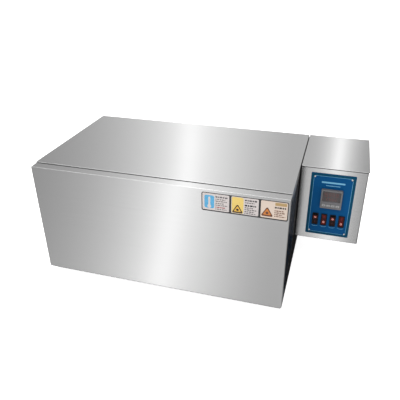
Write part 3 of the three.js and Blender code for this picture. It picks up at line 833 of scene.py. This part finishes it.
def screw_heads(name, spots, radius, height, facing, body, stands_for=()):
    """Low domed heads with a cross recess cut into each."""
    sign = -1 if facing[0] == "-" else 1
    axis = facing[1]
    k = "XYZ".index(axis)
    long, short = radius * 0.62, radius * 0.15
    arm = [(short, short), (long, short), (long, -short)]
    dome = [(radius * r, height * h * sign) for r, h in DOME]
    heads, crosses = bmesh.new(), bmesh.new()
    for spot in spots:
        add_lathe(heads, dome, spot, axis, 24)
        u, v = [spot[i] for i in range(3) if i != k]
        outline = []
        for c, t in ((1, 0), (0, 1), (-1, 0), (0, -1)):
            outline += [(u + a * c + b * t, v - a * t + b * c) for a, b in arm]
        ends = sorted(spot[k] + sign * height * share for share in (0.45, 1.5))
        add_prism(crosses, outline, axis, *ends)
    obj = cut_out(new_object(name, heads), crosses)
    finished(obj, "chrome", body, stands_for)


# ---------- inside the tank ----------

def inner_tank():
    """The deep-drawn tank: a flange, a rolled edge, and walls that curve into the floor."""
    low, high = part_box("inner_tank")
    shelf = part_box("perforated_shelf")
    clear, corner, least = 6, 22, 10
    x0, x1 = shelf[0].x - clear * MM, shelf[1].x + clear * MM
    top, bottom = high.z / MM, low.z / MM
    levels = (
        (-1.2, top), (-0.35, top - 0.35), (0, top - 1.2), (0, bottom + 13), (0.9, bottom + 8),
        (3.5, bottom + 3.8), (8, bottom + 1.4), (14, bottom + 1),
    )
    outlines = [(outline_of((low, high), "Z", 3, 8), high.z)]
    for inset, z in levels:
        wall = outline_of(shelf, "Z", max(corner - inset, least), 8, clear - inset)
        outlines.append((wall, z * MM))
    bm = bmesh.new()
    rings = [[bm.verts.new((x, y, z)) for x, y in outline] for outline, z in outlines]
    for one, two in zip(rings, rings[1:]):
        bridged(bm, one, two)
    floor = bm.faces.new(rings[-1])
    bmesh.ops.recalc_face_normals(bm, faces=bm.faces)
    if floor.normal.z < 0:
        bmesh.ops.reverse_faces(bm, faces=bm.faces)
    tank = sheeted(new_object("tank_liner", bm), 1 * MM)
    holes = bmesh.new()
    for node in ("heating_element_1", "heating_element_2"):
        a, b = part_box(node)
        for y in (a.y + 5 * MM, b.y - 5 * MM):
            add_rod(holes, 5.3, 9, (x1, y, (a.z + b.z) / 2), "X", 24)
    probe = middle_of("temperature_probe")
    add_rod(holes, 3.3, 9, (x1, probe.y, probe.z), "X", 24)
    add_rod(holes, 8.2, 9, drain_at(x0), "X", 24)
    cut_out(tank, holes)
    finished(tank, "steel_tank", BODY, ["inner_tank"])


def heaters_and_probe():
    for number in (1, 2):
        node = f"heating_element_{number}"
        low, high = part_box(node)
        radius = (high.z - low.z) / 2
        z, y0, y1 = low.z + radius, low.y + radius, high.y - radius
        bend = (y1 - y0) / 2
        x_bend = low.x + radius + bend
        straight = (high.x, high.x - 20 * MM, x_bend + 10 * MM)
        path = [(x, y0, z) for x in straight]
        for i in range(25):
            a = math.pi * i / 24
            path.append((x_bend - bend * math.sin(a), (y0 + y1) / 2 - bend * math.cos(a), z))
        path += [(x, y1, z) for x in reversed(straight)]
        bm = bmesh.new()
        add_tube(bm, path, radius, 24)
        tube = new_object(f"heater_tube_{number}", bm)
        finished(tube, "chrome", BODY, [node], 50)
    low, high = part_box("temperature_probe")
    centre = (low + high) / 2
    r, end = 3, (high.x - low.x) / MM
    profile = mm(
        (0, 0), (r * 0.45, 0.15), (r * 0.85, 0.9), (r, 2), (r, end - 16.6), (7, end - 16.5),
        (7, end - 11), (r, end - 10.9), (r, end - 0.5), (r * 0.8, end), (0, end),
    )
    probe = lathed("probe_sheath", profile, (low.x, centre.y, centre.z), "X", 28)
    finished(probe, "chrome", BODY, ["temperature_probe"])


def perforated_shelf():
    """A sheet full of round holes with two finger slots, on strips with four feet each."""
    low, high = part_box("perforated_shelf")
    cx, cy = (low.x + high.x) / 2, (low.y + high.y) / 2
    thick, pitch, columns, rows = 1.2 * MM, 21 * MM, 11, 5
    holes = [
        circle(cx + column * pitch, cy + row * pitch, 5 * MM, 20)
        for column in range(-columns, columns + 1)
        for row in range(-rows, rows + 1)
    ]
    holes += [about(x, cy, 5, 28, 4.9, 6) for x in (low.x + 14 * MM, high.x - 14 * MM)]
    outline = outline_of((low, high), "Z", 16, 8)
    bm = taken(plate("shelf_sheet", outline, holes, "Z", high.z - thick, high.z, 0.15 * MM))
    foot, strip = 24 * MM, 12 * MM
    x0, x1 = low.x + foot, high.x - foot
    bay = (x1 - x0 - 4 * foot) / 3
    outline = [(x1, high.z - thick), (x0, high.z - thick)]
    for i in range(4):
        x = x0 + i * (foot + bay)
        outline += [(x, low.z), (x + foot, low.z)]
        if i < 3:
            outline += [(x + foot, high.z - strip), (x + foot + bay, high.z - strip)]
    for y in (low.y, high.y - thick):
        add_prism(bm, outline, "Y", y, y + thick)
    finished(new_object("shelf", bm), "steel_tank", "shelf", ["perforated_shelf"])


# ---------- control box ----------

def front_holes():
    """The holes in the box's front: the middle of each, half its width and half its height."""
    holes = [(middle_of("controller_housing"), CONTROLLER_HOLE, CONTROLLER_HOLE)]
    return holes + [(middle_of(f"switch_bezel_{i}"), *SWITCH_HOLE) for i in FOUR]


def control_box():
    low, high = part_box("control_box_shell")
    groove = 1.6 * MM
    bends = {"-y -x": 2.5, "-y +x": 2.5, "-y -z": 1.5, "-x -z": 2, "+x -z": 2}
    top = Vector((high.x, high.y, high.z - groove))
    casing = folded_box("control_box_casing", low, top, ["+z", "+y"], bends)
    cutter = bmesh.new()
    for c, w, h in front_holes():
        add_block(cutter, (c.x - w, low.y - 3 * MM, c.z - h), (c.x + w, low.y + 4 * MM, c.z + h))
    for i in range(7):
        y = low.y + (57.5 + 16 * i) * MM
        vent = about(y, low.z + 64.5 * MM, 2.5, 30, 2.45, 5)
        add_prism(cutter, vent, "X", high.x - 4 * MM, high.x + 4 * MM)
    add_rod(cutter, 11.5, 9, bushing_at(low.x), "X")
    cut_out(casing, cutter)
    finished(casing, "steel", BODY, ["control_box_shell"])


def cover_ring(name, outset, width, z0, z1):
    """A ring that follows the top of the box, set in from its walls."""
    low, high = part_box("control_box_shell")
    outer, inner = (
        rounded(low.x + inset, high.x - inset, low.y + inset, high.y - 5 * MM - inset, 1.5 * MM, 3)
        for inset in (outset, outset + width)
    )
    return plate(name, outer, [inner], "Z", z0, z1)


def box_cover():
    """A folded plate that overhangs the box in front and on the right, over a black foam seal that also
    serves as painted shade in the seam.
    """
    low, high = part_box("control_box_cover")
    bottom = high.z - SHEET
    under = bottom - 0.02 * MM

    def share_of(edge):
        a, b = (v.co for v in edge.verts)
        if not near(a.z, b.z):
            return 1.0 if near(a.y, low.y) else 0.0
        return 0.25 if near(a.z, high.z) else 0.0

    bm = bmesh.new()
    add_block(bm, (low.x, low.y, bottom), high)
    weigh_edges(bm, share_of)
    top = bent(new_object("plate", bm), 2.5 * MM, 4)
    skirt = cover_ring("skirt", 4 * MM, 1 * MM, high.z - 11 * MM, under)
    cover = new_object("control_box_top", taken(top, skirt))
    finished(cover, "steel", BODY, ["control_box_cover"])
    shell_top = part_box("control_box_shell")[1].z
    # The black seal shows in the groove under the cover's edge: partly a real seal, partly painted shade for
    # the dark seam line.
    seal = cover_ring("cover_seal_seam_shade", 1.4 * MM, 2.4 * MM, shell_top - 4 * MM, under)
    finished(seal, "foam", BODY)


def box_back():
    low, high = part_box("control_box_back_plate")
    gland = middle_of("cable_gland")
    vent_x = (low.x + high.x) / 2 - 12 * MM
    holes = [circle(gland.x, gland.z, 8.3 * MM, 32)]
    holes += [about(vent_x, high.z - (40 + 12 * i) * MM, 38, 2, 1.9, 4) for i in range(6)]
    outline = outline_of((low, high), "Y", 2, 4)
    back = plate("control_box_back", outline, holes, "Y", low.y, high.y, 0.2 * MM)
    finished(back, "steel", BODY, ["control_box_back_plate"])
    inset = 8 * MM
    columns = (low.x + inset, high.x - inset)
    rows = (low.z + inset, (low.z + high.z) / 2, high.z - inset)
    spots = [(x, high.y - 0.02 * MM, z) for x in columns for z in rows]
    screw_heads("box_back_screws", spots, 3.2 * MM, 1.7 * MM, "+Y", BODY)


def cable_gland():
    """A bored gland with two hexagons and a ribbed cap."""
    low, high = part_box("cable_gland")
    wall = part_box("control_box_back_plate")[1].y
    cx, cz = (low.x + high.x) / 2, (low.z + high.z) / 2
    end, root, bore = (high.y - wall) / MM, (low.y - wall) / MM, 4
    profile = mm(
        (bore, end - 4), (bore, end), (5.4, end), (6.8, end - 0.8), (8.4, end - 3.2), (9, end - 6),
        (9.1, end - 13), (8.2, end - 13.5), (8.2, 0.3), (8, 0.3), (8, root), (bore, root), (bore, end - 4),
    )
    bm = bmesh.new()
    add_lathe(bm, profile, (cx, wall, cz), "Y", 40)
    for y0, y1 in mm((0.3, 6.5), (-6.5, -1.6)):
        add_prism(bm, circle(cx, cz, 10.9 * MM, 6), "Y", wall + y0, wall + y1)
    rib, rib_low, rib_high = 0.5 * MM, wall + 9.2 * MM, wall + 15.5 * MM
    for x, z in circle(cx, cz, 9 * MM, 16):
        add_block(bm, (x - rib, rib_low, z - rib), (x + rib, rib_high, z + rib))
    gland = bevelled(new_object("gland", bm), 0.3 * MM, 2, 50)
    finished(gland, "nylon", BODY, ["cable_gland"])


def control_panel():
    """The blue panel, its print and its corner screws."""
    low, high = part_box("control_panel")
    holes = []
    for c, w, h in front_holes():
        corner = (1 if w == h else 0.8) * MM
        holes.append(rounded(c.x - w, c.x + w, c.z - h, c.z + h, corner, 3))
    outline = outline_of((low, high), "Y", 2.5, 6)
    panel = plate("panel_plate", outline, holes, "Y", low.y, high.y, 0.25 * MM)
    finished(panel, "blue", BODY, ["control_panel"])

    ink = bmesh.new()
    for inset, width, index in ((0.5, 5.6, 0), (6.4, 0.6, 1)):
        add_frame(ink, (low, high), inset, width, index)
    for i in FOUR:
        a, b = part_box(f"switch_bezel_{i}")
        add_arc(ink, (a.x + b.x) / 2, a.z - 2.2 * MM, 7 * MM, 0.7 * MM, low.y)
    cx, top = middle_of("controller_housing").x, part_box("controller_housing")[1].z
    for half, z0, z1 in ((26, 14, 18), (16, 7.5, 9)):
        bar = (cx - half * MM, cx + half * MM, top + z0 * MM, top + z1 * MM)
        add_bar(ink, *bar, low.y, PANEL_INK, 1)
    finished(new_object("panel_print", ink), "teal pale", BODY)

    for i in FOUR:
        node = f"panel_screw_{i}"
        middle = middle_of(node)
        spot = (middle.x, low.y - 0.02 * MM, middle.z)
        screw_heads(f"panel_screw_head_{i}", [spot], 2.6 * MM, 1.9 * MM, "-Y", BODY, [node])


def add_skin(bm, outline, front, thin, index, layer=0):
    """A printed patch: a skin just proud of the surface, or of the layers that are under it."""
    add_prism(bm, outline, "Y", front - (layer + 1) * thin, front - (layer + 0.25) * thin, index)


def add_bar(bm, x0, x1, z0, z1, front, thin, index):
    corner = min(x1 - x0, z1 - z0) * 0.2
    add_skin(bm, rounded(x0, x1, z0, z1, corner, 2), front, thin, index)


def add_arc(bm, x, z, half, width, front):
    """A printed smile under a switch: a shallow arc as wide as twice the half."""
    steps = 8
    sag = half * 0.36
    upper = [(x + half * t, z - sag * (1 - t * t)) for t in (2 * k / steps - 1 for k in range(steps + 1))]
    lower = [(u, v - width) for u, v in reversed(upper)]
    add_skin(bm, upper + lower, front, PANEL_INK, 1)


def add_frame(bm, box, inset, width, index):
    """A printed line round the face of a box, made of one closed ring. Inset and width are in mm."""
    radius, least = 2, 0.3
    outer = outline_of(box, "Y", radius, 5, -inset)
    inner = outline_of(box, "Y", max(radius - width, least), 5, -inset - width)
    loops = []
    for outline, share in ((outer, 1), (inner, 1), (inner, 0.25), (outer, 0.25)):
        loops.append([bm.verts.new((u, box[0].y - PANEL_INK * share, v)) for u, v in outline])
    faces = []
    for k in range(4):
        faces += bridged(bm, loops[k], loops[(k + 1) % 4])
    closed(bm, faces, index)


def controller():
    """The controller: a case with a bezel, a smoked window with unlit figures, and four keys."""
    low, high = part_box("controller_housing")
    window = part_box("controller_window")
    left, face, bottom = window[0]
    panel_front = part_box("control_panel")[0].y
    front = low.y
    cx, cz = (low.x + high.x) / 2, (low.z + high.z) / 2
    holes = [outline_of(window, "Y", 1, 3, 0.2)]
    holes += [outline_of(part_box(f"controller_key_{i}"), "Y", 0.9, 3, 0.25) for i in FOUR]
    outline = outline_of((low, high), "Y", 2, 5)
    bm = taken(plate("bezel", outline, holes, "Y", front, front + 5 * MM, 0.5 * MM))
    add_prism(bm, outline, "Y", front + 5.02 * MM, panel_front - 0.05 * MM)
    add_prism(bm, about(cx, cz, 22.25, 22.25, 1), "Y", panel_front - 0.04 * MM, high.y)
    case = new_object("controller_case", bm)
    finished(case, "case", BODY, ["controller_housing"])

    bm = bmesh.new()
    add_prism(bm, outline_of(window, "Y", 0.9, 3), "Y", face, window[1].y)
    height = window[1].z - bottom
    for share, tall, wide in ((0.72, 9.0 * MM, 5.2 * MM), (0.26, 6.8 * MM, 4.2 * MM)):
        for k in range(4):
            x = cx + (k - 1.5) * wide * 1.55
            add_digit(bm, x, bottom + height * share, wide, tall, face)
    for share in (0.25, 0.5, 0.75):
        add_unlit(bm, circle(left + 3 * MM, bottom + height * share, 0.8 * MM, 12), face)
    glass = new_object("controller_glass", bm)
    finished(glass, "smoked digit", BODY, ["controller_window"])

    for i in FOUR:
        node = f"controller_key_{i}"
        a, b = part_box(node)
        outline = outline_of((a, b), "Y", 0.9, 4)
        bm = taken(plate(f"key_cap_{i}", outline, [], "Y", a.y, b.y, 0.4 * MM))
        x, z = (a.x + b.x) / 2, (a.z + b.z) / 2
        size = 1.3 * MM
        marks = {
            1: circle(x, z, size * 0.75, 16),
            2: [(x + size, z - size), (x + size, z + size), (x - size, z)],
            3: [(x - size, z + size * 0.8), (x + size, z + size * 0.8), (x, z - size)],
            4: [(x - size, z - size * 0.8), (x + size, z - size * 0.8), (x, z + size)],
        }
        add_prism(bm, marks[i], "Y", a.y - 0.03 * MM, a.y - 0.005 * MM, 1)
        finished(new_object(f"key_{i}_cap", bm), "key ink", f"key_{i}", [node])


def add_unlit(bm, outline, front):
    """A segment or a lamp of the display that isn't lit."""
    add_prism(bm, outline, "Y", front - 0.03 * MM, front - 0.01 * MM, 1)


def add_digit(bm, x, z, wide, tall, front):
    """Seven unlit segments of one figure."""
    thick = wide * 0.16
    gap, t = thick * 0.3, thick / 2
    half_w, half_h = wide / 2, tall / 2
    for level in (z - half_h, z, z + half_h):
        a, b = x - half_w + t + gap, x + half_w - t - gap
        lower = [(a, level), (a + t, level - t), (b - t, level - t), (b, level)]
        add_unlit(bm, lower + [(b - t, level + t), (a + t, level + t)], front)
    for c in (x - half_w + t, x + half_w - t):
        for bottom in (z - half_h, z):
            a, b = bottom + gap, bottom + half_h - gap
            right = [(c, a), (c + t, a + t), (c + t, b - t), (c, b)]
            add_unlit(bm, right + [(c - t, b - t), (c - t, a + t)], front)


def switches():
    """A bezel in front of the panel and a can behind it, round the hollow for the rocker."""
    panel_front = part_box("control_panel")[0].y
    half_w, half_h = 6.2, 14.2
    depth = panel_front + 8 * MM
    for i in FOUR:
        low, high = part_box(f"switch_bezel_{i}")
        c = (low + high) / 2
        w, h = half_w * MM, half_h * MM
        hollow = about(c.x, c.z, 5.5, 13.5, 0.6)
        bezel = outline_of((low, high), "Y", 1.2, 5)
        face = plate("face", bezel, [hollow], "Y", low.y, panel_front - 0.05 * MM, 0.45 * MM)
        can = about(c.x, c.z, half_w, half_h, 0.5)
        body = plate("body", can, [hollow], "Y", panel_front - 0.04 * MM, depth)
        bm = taken(face, body)
        add_block(bm, (c.x - w, depth + 0.02 * MM, c.z - h), (c.x + w, high.y, c.z + h))
        switch = new_object(f"switch_frame_{i}", bm)
        finished(switch, "black", BODY, [f"switch_bezel_{i}"])
        rocker(i)


def rocker(i):
    """Two dished flats that meet over the pin, tipped one way or the other as the node is."""
    joint = next(j for j in frame["joints"] if j["name"] == f"rocker_{i}_tip")
    tilt = math.radians(REST_TILT) * (1 if joint["range_deg"][0] < 0 else -1)
    half_w, half_h = 5.2 * MM, 12.4 * MM
    back, lip, lift = 3 * MM, -5.9 * MM, 0.25 * MM
    steps = 12
    profile = [(back, -half_h), (back, half_h), (lip, half_h)]
    for k in range(steps + 1):
        z = half_h - 2 * half_h * k / steps
        share = abs(z) / half_h
        dish = lift * math.sin(math.pi * min(share, 1)) + (lift if share > 0.99 else 0)
        profile.append((-(4.2 + 2.0 * share) * MM + dish, z * 0.985))
    profile.append((lip, -half_h))
    outline = []
    for point in profile:
        if not outline or (Vector(point) - Vector(outline[-1])).length > 0.05 * MM:
            outline.append(point)
    bm = bmesh.new()
    # The rocker body is black, so a 0.7 mm black rim shows round each red lens: painted shade along the
    # rocker's edges in the bezel.
    add_prism(bm, outline, "X", -half_w, half_w, 3)
    # Each face is inset to a red lens. The upper lens and a raised lower lens are red; a pressed lower lens
    # takes the darker red as painted shade.
    for side in (-1, 1):
        lens = [
            f for f in bm.faces
            if f.normal.y < -0.8 and abs(f.normal.x) < 0.1
            and f.calc_center_median().z * side > 0 and f.calc_area() > 2 * MM * MM
        ]
        bmesh.ops.inset_region(bm, faces=lens, thickness=0.7 * MM, use_boundary=True)
        for face in lens:
            face.material_index = 0 if max(side, side * tilt) > 0 else 4
    obj = bevelled(new_object(f"rocker_{i}_cap", bm), 0.35 * MM, 3, 50)
    bm = mesh_of(obj)
    # A printed ring on the raised half in bright salmon, a painted glint, and a printed bar on the pressed
    # half in dim red, painted shade.
    proud, deep = -5.45 * MM, -5.1 * MM
    raised = math.copysign(6.2 * MM, tilt)
    outer, inner = 2.5 * MM, 1.1 * MM
    ring = [(outer, proud), (outer, deep), (inner, deep), (inner, proud), (outer, proud)]
    add_lathe(bm, ring, (0, 0, raised), "Y", 24, 1)
    add_block(bm, (-0.4 * MM, proud, -raised - 2 * MM), (0.4 * MM, deep, -raised + 2 * MM), 2)
    bm.transform(Matrix.Translation(joint["pos_m"]) @ Matrix.Rotation(tilt, 4, "X"))
    put_back(bm, obj)
    looks = "rocker mark mark_dim black rocker_dark"
    finished(obj, looks, f"rocker_{i}", [f"switch_rocker_{i}"])


# ---------- label cards ----------

def label_cards():
    """Three printed cards on one dark backing: a coloured column with a plain sign, and bars, no text."""
    first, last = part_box("label_card_1"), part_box("label_card_3")
    back = first[1].y
    outline = rounded(first[0].x, last[1].x, first[0].z, first[1].z, 4 * MM, 6)
    backing = plate("label_backing", outline, [], "Y", back - 0.08 * MM, back)
    finished(backing, "ink", BODY)
    looks = (
        (1, "film ink_sky ink film ink_grey ink_red ink_gold", None),
        (2, "film ink_yellow ink_brown ink_amber ink ink_grey ink_gold", (11 * MM, 14.5 * MM)),
        (3, "film_pink film_pink ink_rust ink_orange ink ink_rust ink_gold", (13.5 * MM, 15.5 * MM)),
    )
    thin = CARD_INK
    wide, narrow = 2 * MM, 0.7 * MM
    for number, mats, sign in looks:
        node = f"label_card_{number}"
        low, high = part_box(node)
        left = low.x + (wide if number == 1 else narrow)
        right = high.x - (wide if number == 3 else narrow)
        bottom, top = low.z + 2.8 * MM, high.z - 1.6 * MM
        front = low.y + 0.1 * MM
        outline = rounded(left, right, bottom, top, 2.6 * MM, 5)
        bm = taken(plate(f"card_{number}", outline, [], "Y", front, back - 0.09 * MM))
        margin = 1 * MM if sign else 4.5 * MM
        split = left + 26 * MM
        column = rounded(left + margin, split, bottom + margin, top - margin, 4 * MM, 5)
        add_skin(bm, column, front, thin, 1)
        middle = (left + margin + split) / 2
        if sign:
            lift, size = sign
            add_sign(bm, middle, bottom + lift, size, front - thin)
        else:
            thermometer(bm, middle, bottom, top, front - thin)
        if number == 3:
            add_bar(bm, split + 3 * MM, right - 2 * MM, bottom + 31 * MM, top - 1.5 * MM, front, thin, 6)
        add_words(bm, split + 2.5 * MM, right - 2.5 * MM, bottom, WORDS[number], front)
        finished(new_object(f"label_print_{number}", bm), mats, BODY, [node])


def add_sign(bm, x, z, half, front):
    """A plain triangle with a dark edge and a dot in it."""
    add_skin(bm, rounded_triangle(x, z, half), front, CARD_INK, 2)
    add_skin(bm, rounded_triangle(x, z, half * 0.66), front, CARD_INK, 3, 1)
    add_skin(bm, circle(x, z - half * 0.12, half * 0.2, 16), front, CARD_INK, 2, 2)


def rounded_triangle(x, z, size):
    points = []
    radius = size * 0.16
    reach = size - radius * 2
    for k in range(3):
        corner = math.pi / 2 + 2 * math.pi * k / 3
        u, v = x + reach * math.cos(corner), z - size * 0.15 + reach * math.sin(corner)
        for i in range(5):
            a = corner - math.pi / 3 + 2 * math.pi / 3 * i / 4
            points.append((u + radius * math.cos(a), v + radius * math.sin(a)))
    return points


def thermometer(bm, x, low, high, front):
    """A plain white stem over a bulb, as a sign for a heated bath."""
    half = 2.2 * MM
    stem = rounded(x - half, x + half, low + 10 * MM, high - 8 * MM, 2.1 * MM, 5)
    add_skin(bm, stem, front, CARD_INK, 3)
    bulb = circle(x, low + 9 * MM, 4.2 * MM, 24)
    add_prism(bm, bulb, "Y", front - CARD_INK * 1.5, front - CARD_INK * 1.1, 3)


def add_words(bm, x0, x1, bottom, lines, front):
    """Short bars where a card has words. A line is its height over the edge, thickness and material."""
    lengths = (4.2, 2.6, 5.4, 3.2, 6.1, 2.2, 4.8, 3.6)
    shares = (0.96, 0.78, 0.9, 0.66)
    space = 1.2 * MM
    word = 0
    for row, (height, tall, index) in enumerate(lines):
        z, half = bottom + height * MM, tall * MM / 2
        end = x0 + (x1 - x0) * shares[row % len(shares)]
        x = x0
        while x < end:
            length = lengths[word % len(lengths)] * MM
            add_bar(bm, x, min(x + length, end), z - half, z + half, front, CARD_INK, index)
            x += length + space
            word += 1


# ---------- feet, valve, mountings ----------

def feet():
    for i in FOUR:
        node = f"rubber_foot_{i}"
        low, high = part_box(node)
        centre = (low + high) / 2
        r, h, bore = (high.x - low.x) / 2 / MM, high.z / MM, 4
        profile = mm(
            (0, 5), (bore, 5), (bore, 0.4), (bore + 0.4, 0), (r - 3.6, 0), (r - 2.9, 0.3),
            (r - 2.4, 1.2), (r - 0.4, h - 1.2), (r, h - 0.6), (r - 0.3, h), (0, h),
        )
        foot = lathed(f"foot_{i}", profile, (centre.x, centre.y, 0), "Z", 40)
        finished(foot, "rubber", BODY, [node])
        spot = (centre.x, centre.y, 4.9 * MM)
        screw_heads(f"foot_screw_{i}", [spot], 3.4 * MM, 2 * MM, "-Z", BODY)


def drain_valve():
    """A brass ball valve with a hose barb, and its lever."""
    low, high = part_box("drain_valve_body")
    centre = middle_of("drain_valve_ball")
    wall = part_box("outer_shell")[0].x
    tip, root, bore = (low.x - wall) / MM, (high.x - wall) / MM, 4
    barbs = []
    for k in range(3):
        barbs += [(6.5, tip + 5 * k + 3.2), (5.3, tip + 5 * k + 4.2)]
    profile = mm(
        (bore, root), (bore, tip), (5.2, tip), *barbs, (5.3, tip + 16), (8, tip + 18), (8.2, -31),
        (10.2, -30), (10.8, -26), (10.8, -21), (10.2, -17), (8.4, -16), (8.4, -7),
        (13.5, -6.4), (14, -5.6), (14, -0.6), (8, -0.5), (8, root), (bore, root),
    )
    bm = bmesh.new()
    add_lathe(bm, profile, (wall, centre.y, centre.z), "X", 48)
    for x0, x1, r in ((-38.6, -31.2, 10.9), (-15.4, -7.4, 11.9)):
        add_prism(bm, circle(centre.y, centre.z, r * MM, 6), "X", wall + x0 * MM, wall + x1 * MM)
    neck = mm((2.3, 8), (6.5, 8), (6.5, 14.5), (6, 15), (4, 16), (4, 17.4), (2.3, 17.4), (2.3, 8))
    add_lathe(bm, neck, centre, "Z", 32)
    body = bevelled(new_object("valve_body", bm), 0.3 * MM, 2, 50)
    finished(body, "brass", BODY, ["drain_valve_body"])

    x, y, blade = centre.x, centre.y, centre.z + 17.8 * MM
    lever_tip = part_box("drain_valve_lever")[0].y
    outline = rounded(x - 6 * MM, x + 6 * MM, lever_tip, y - 9 * MM, 5 * MM, 8)
    grip = plate("grip", outline, [], "Z", blade - 0.2 * MM, blade + 2.9 * MM, 0.9 * MM)
    outline = rounded(x - 6.6 * MM, x + 6.6 * MM, y - 11 * MM, y + 6.8 * MM, 4 * MM, 6)
    hub = plate("hub", outline, [], "Z", blade + 0.3 * MM, blade + 2.3 * MM, 0.2 * MM)
    for polygon in hub.data.polygons:
        polygon.material_index = 1
    bm = taken(grip, hub)
    add_prism(bm, circle(x, y, 5.2 * MM, 6), "Z", blade + 2.4 * MM, blade + 6.2 * MM, 1)
    stem = mm((0, 7.4), (2, 7.4), (2, 25), (1.7, 25.5), (0, 25.5))
    add_lathe(bm, stem, centre, "Z", 20, 1)
    lever = new_object("valve_lever", bm)
    finished(lever, "lever chrome", "drain_lever", ["drain_valve_lever"])


def box_gasket():
    """A ring of black foam between the tank and the control box."""
    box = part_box("box_gasket")
    outer, inner = outline_of(box, "X", 3, 4), outline_of(box, "X", 1, 4, -8)
    ring = plate("foam_gasket", outer, [inner], "X", box[0].x, box[1].x, 0.2 * MM)
    finished(ring, "foam", BODY, ["box_gasket"])


def carried_nodes():
    """CAD nodes whose shape is right keep their mesh and take a finished material."""
    looks = {
        "drain_valve_ball": "chrome",
        "base_plate": "fitting",
        "insulation_jacket": "wool",
        "insulation_base": "wool",
        "lid_insulation": "wool",
        "heater_flange_1": "fitting",
        "heater_flange_2": "fitting",
        "wire_bushing": "rubber",
        "solid_state_relay": "black",
        "terminal_block": "terminal",
    }
    for node, look in looks.items():
        mesh = frame["nodes"][node].data
        mesh.materials.clear()
        mesh.materials.append(M[look])


# ---------- the scene ----------

scene.view_settings.view_transform = "Standard"
add_camera()
M = make_materials()
tank_casing()
lid_pan()
lid_underside()
hinges()
inner_tank()
heaters_and_probe()
perforated_shelf()
control_box()
box_cover()
box_back()
cable_gland()
control_panel()
controller()
switches()
label_cards()
feet()
drain_valve()
box_gasket()
carried_nodes()
add_floor()
add_world()
add_sun("overhead", (-0.25, -0.55, 0.8), 50, 1.6)
add_softbox("front_top", (-0.25, -0.6, 0.76), 3.0, (4.6, 1.0), 26)
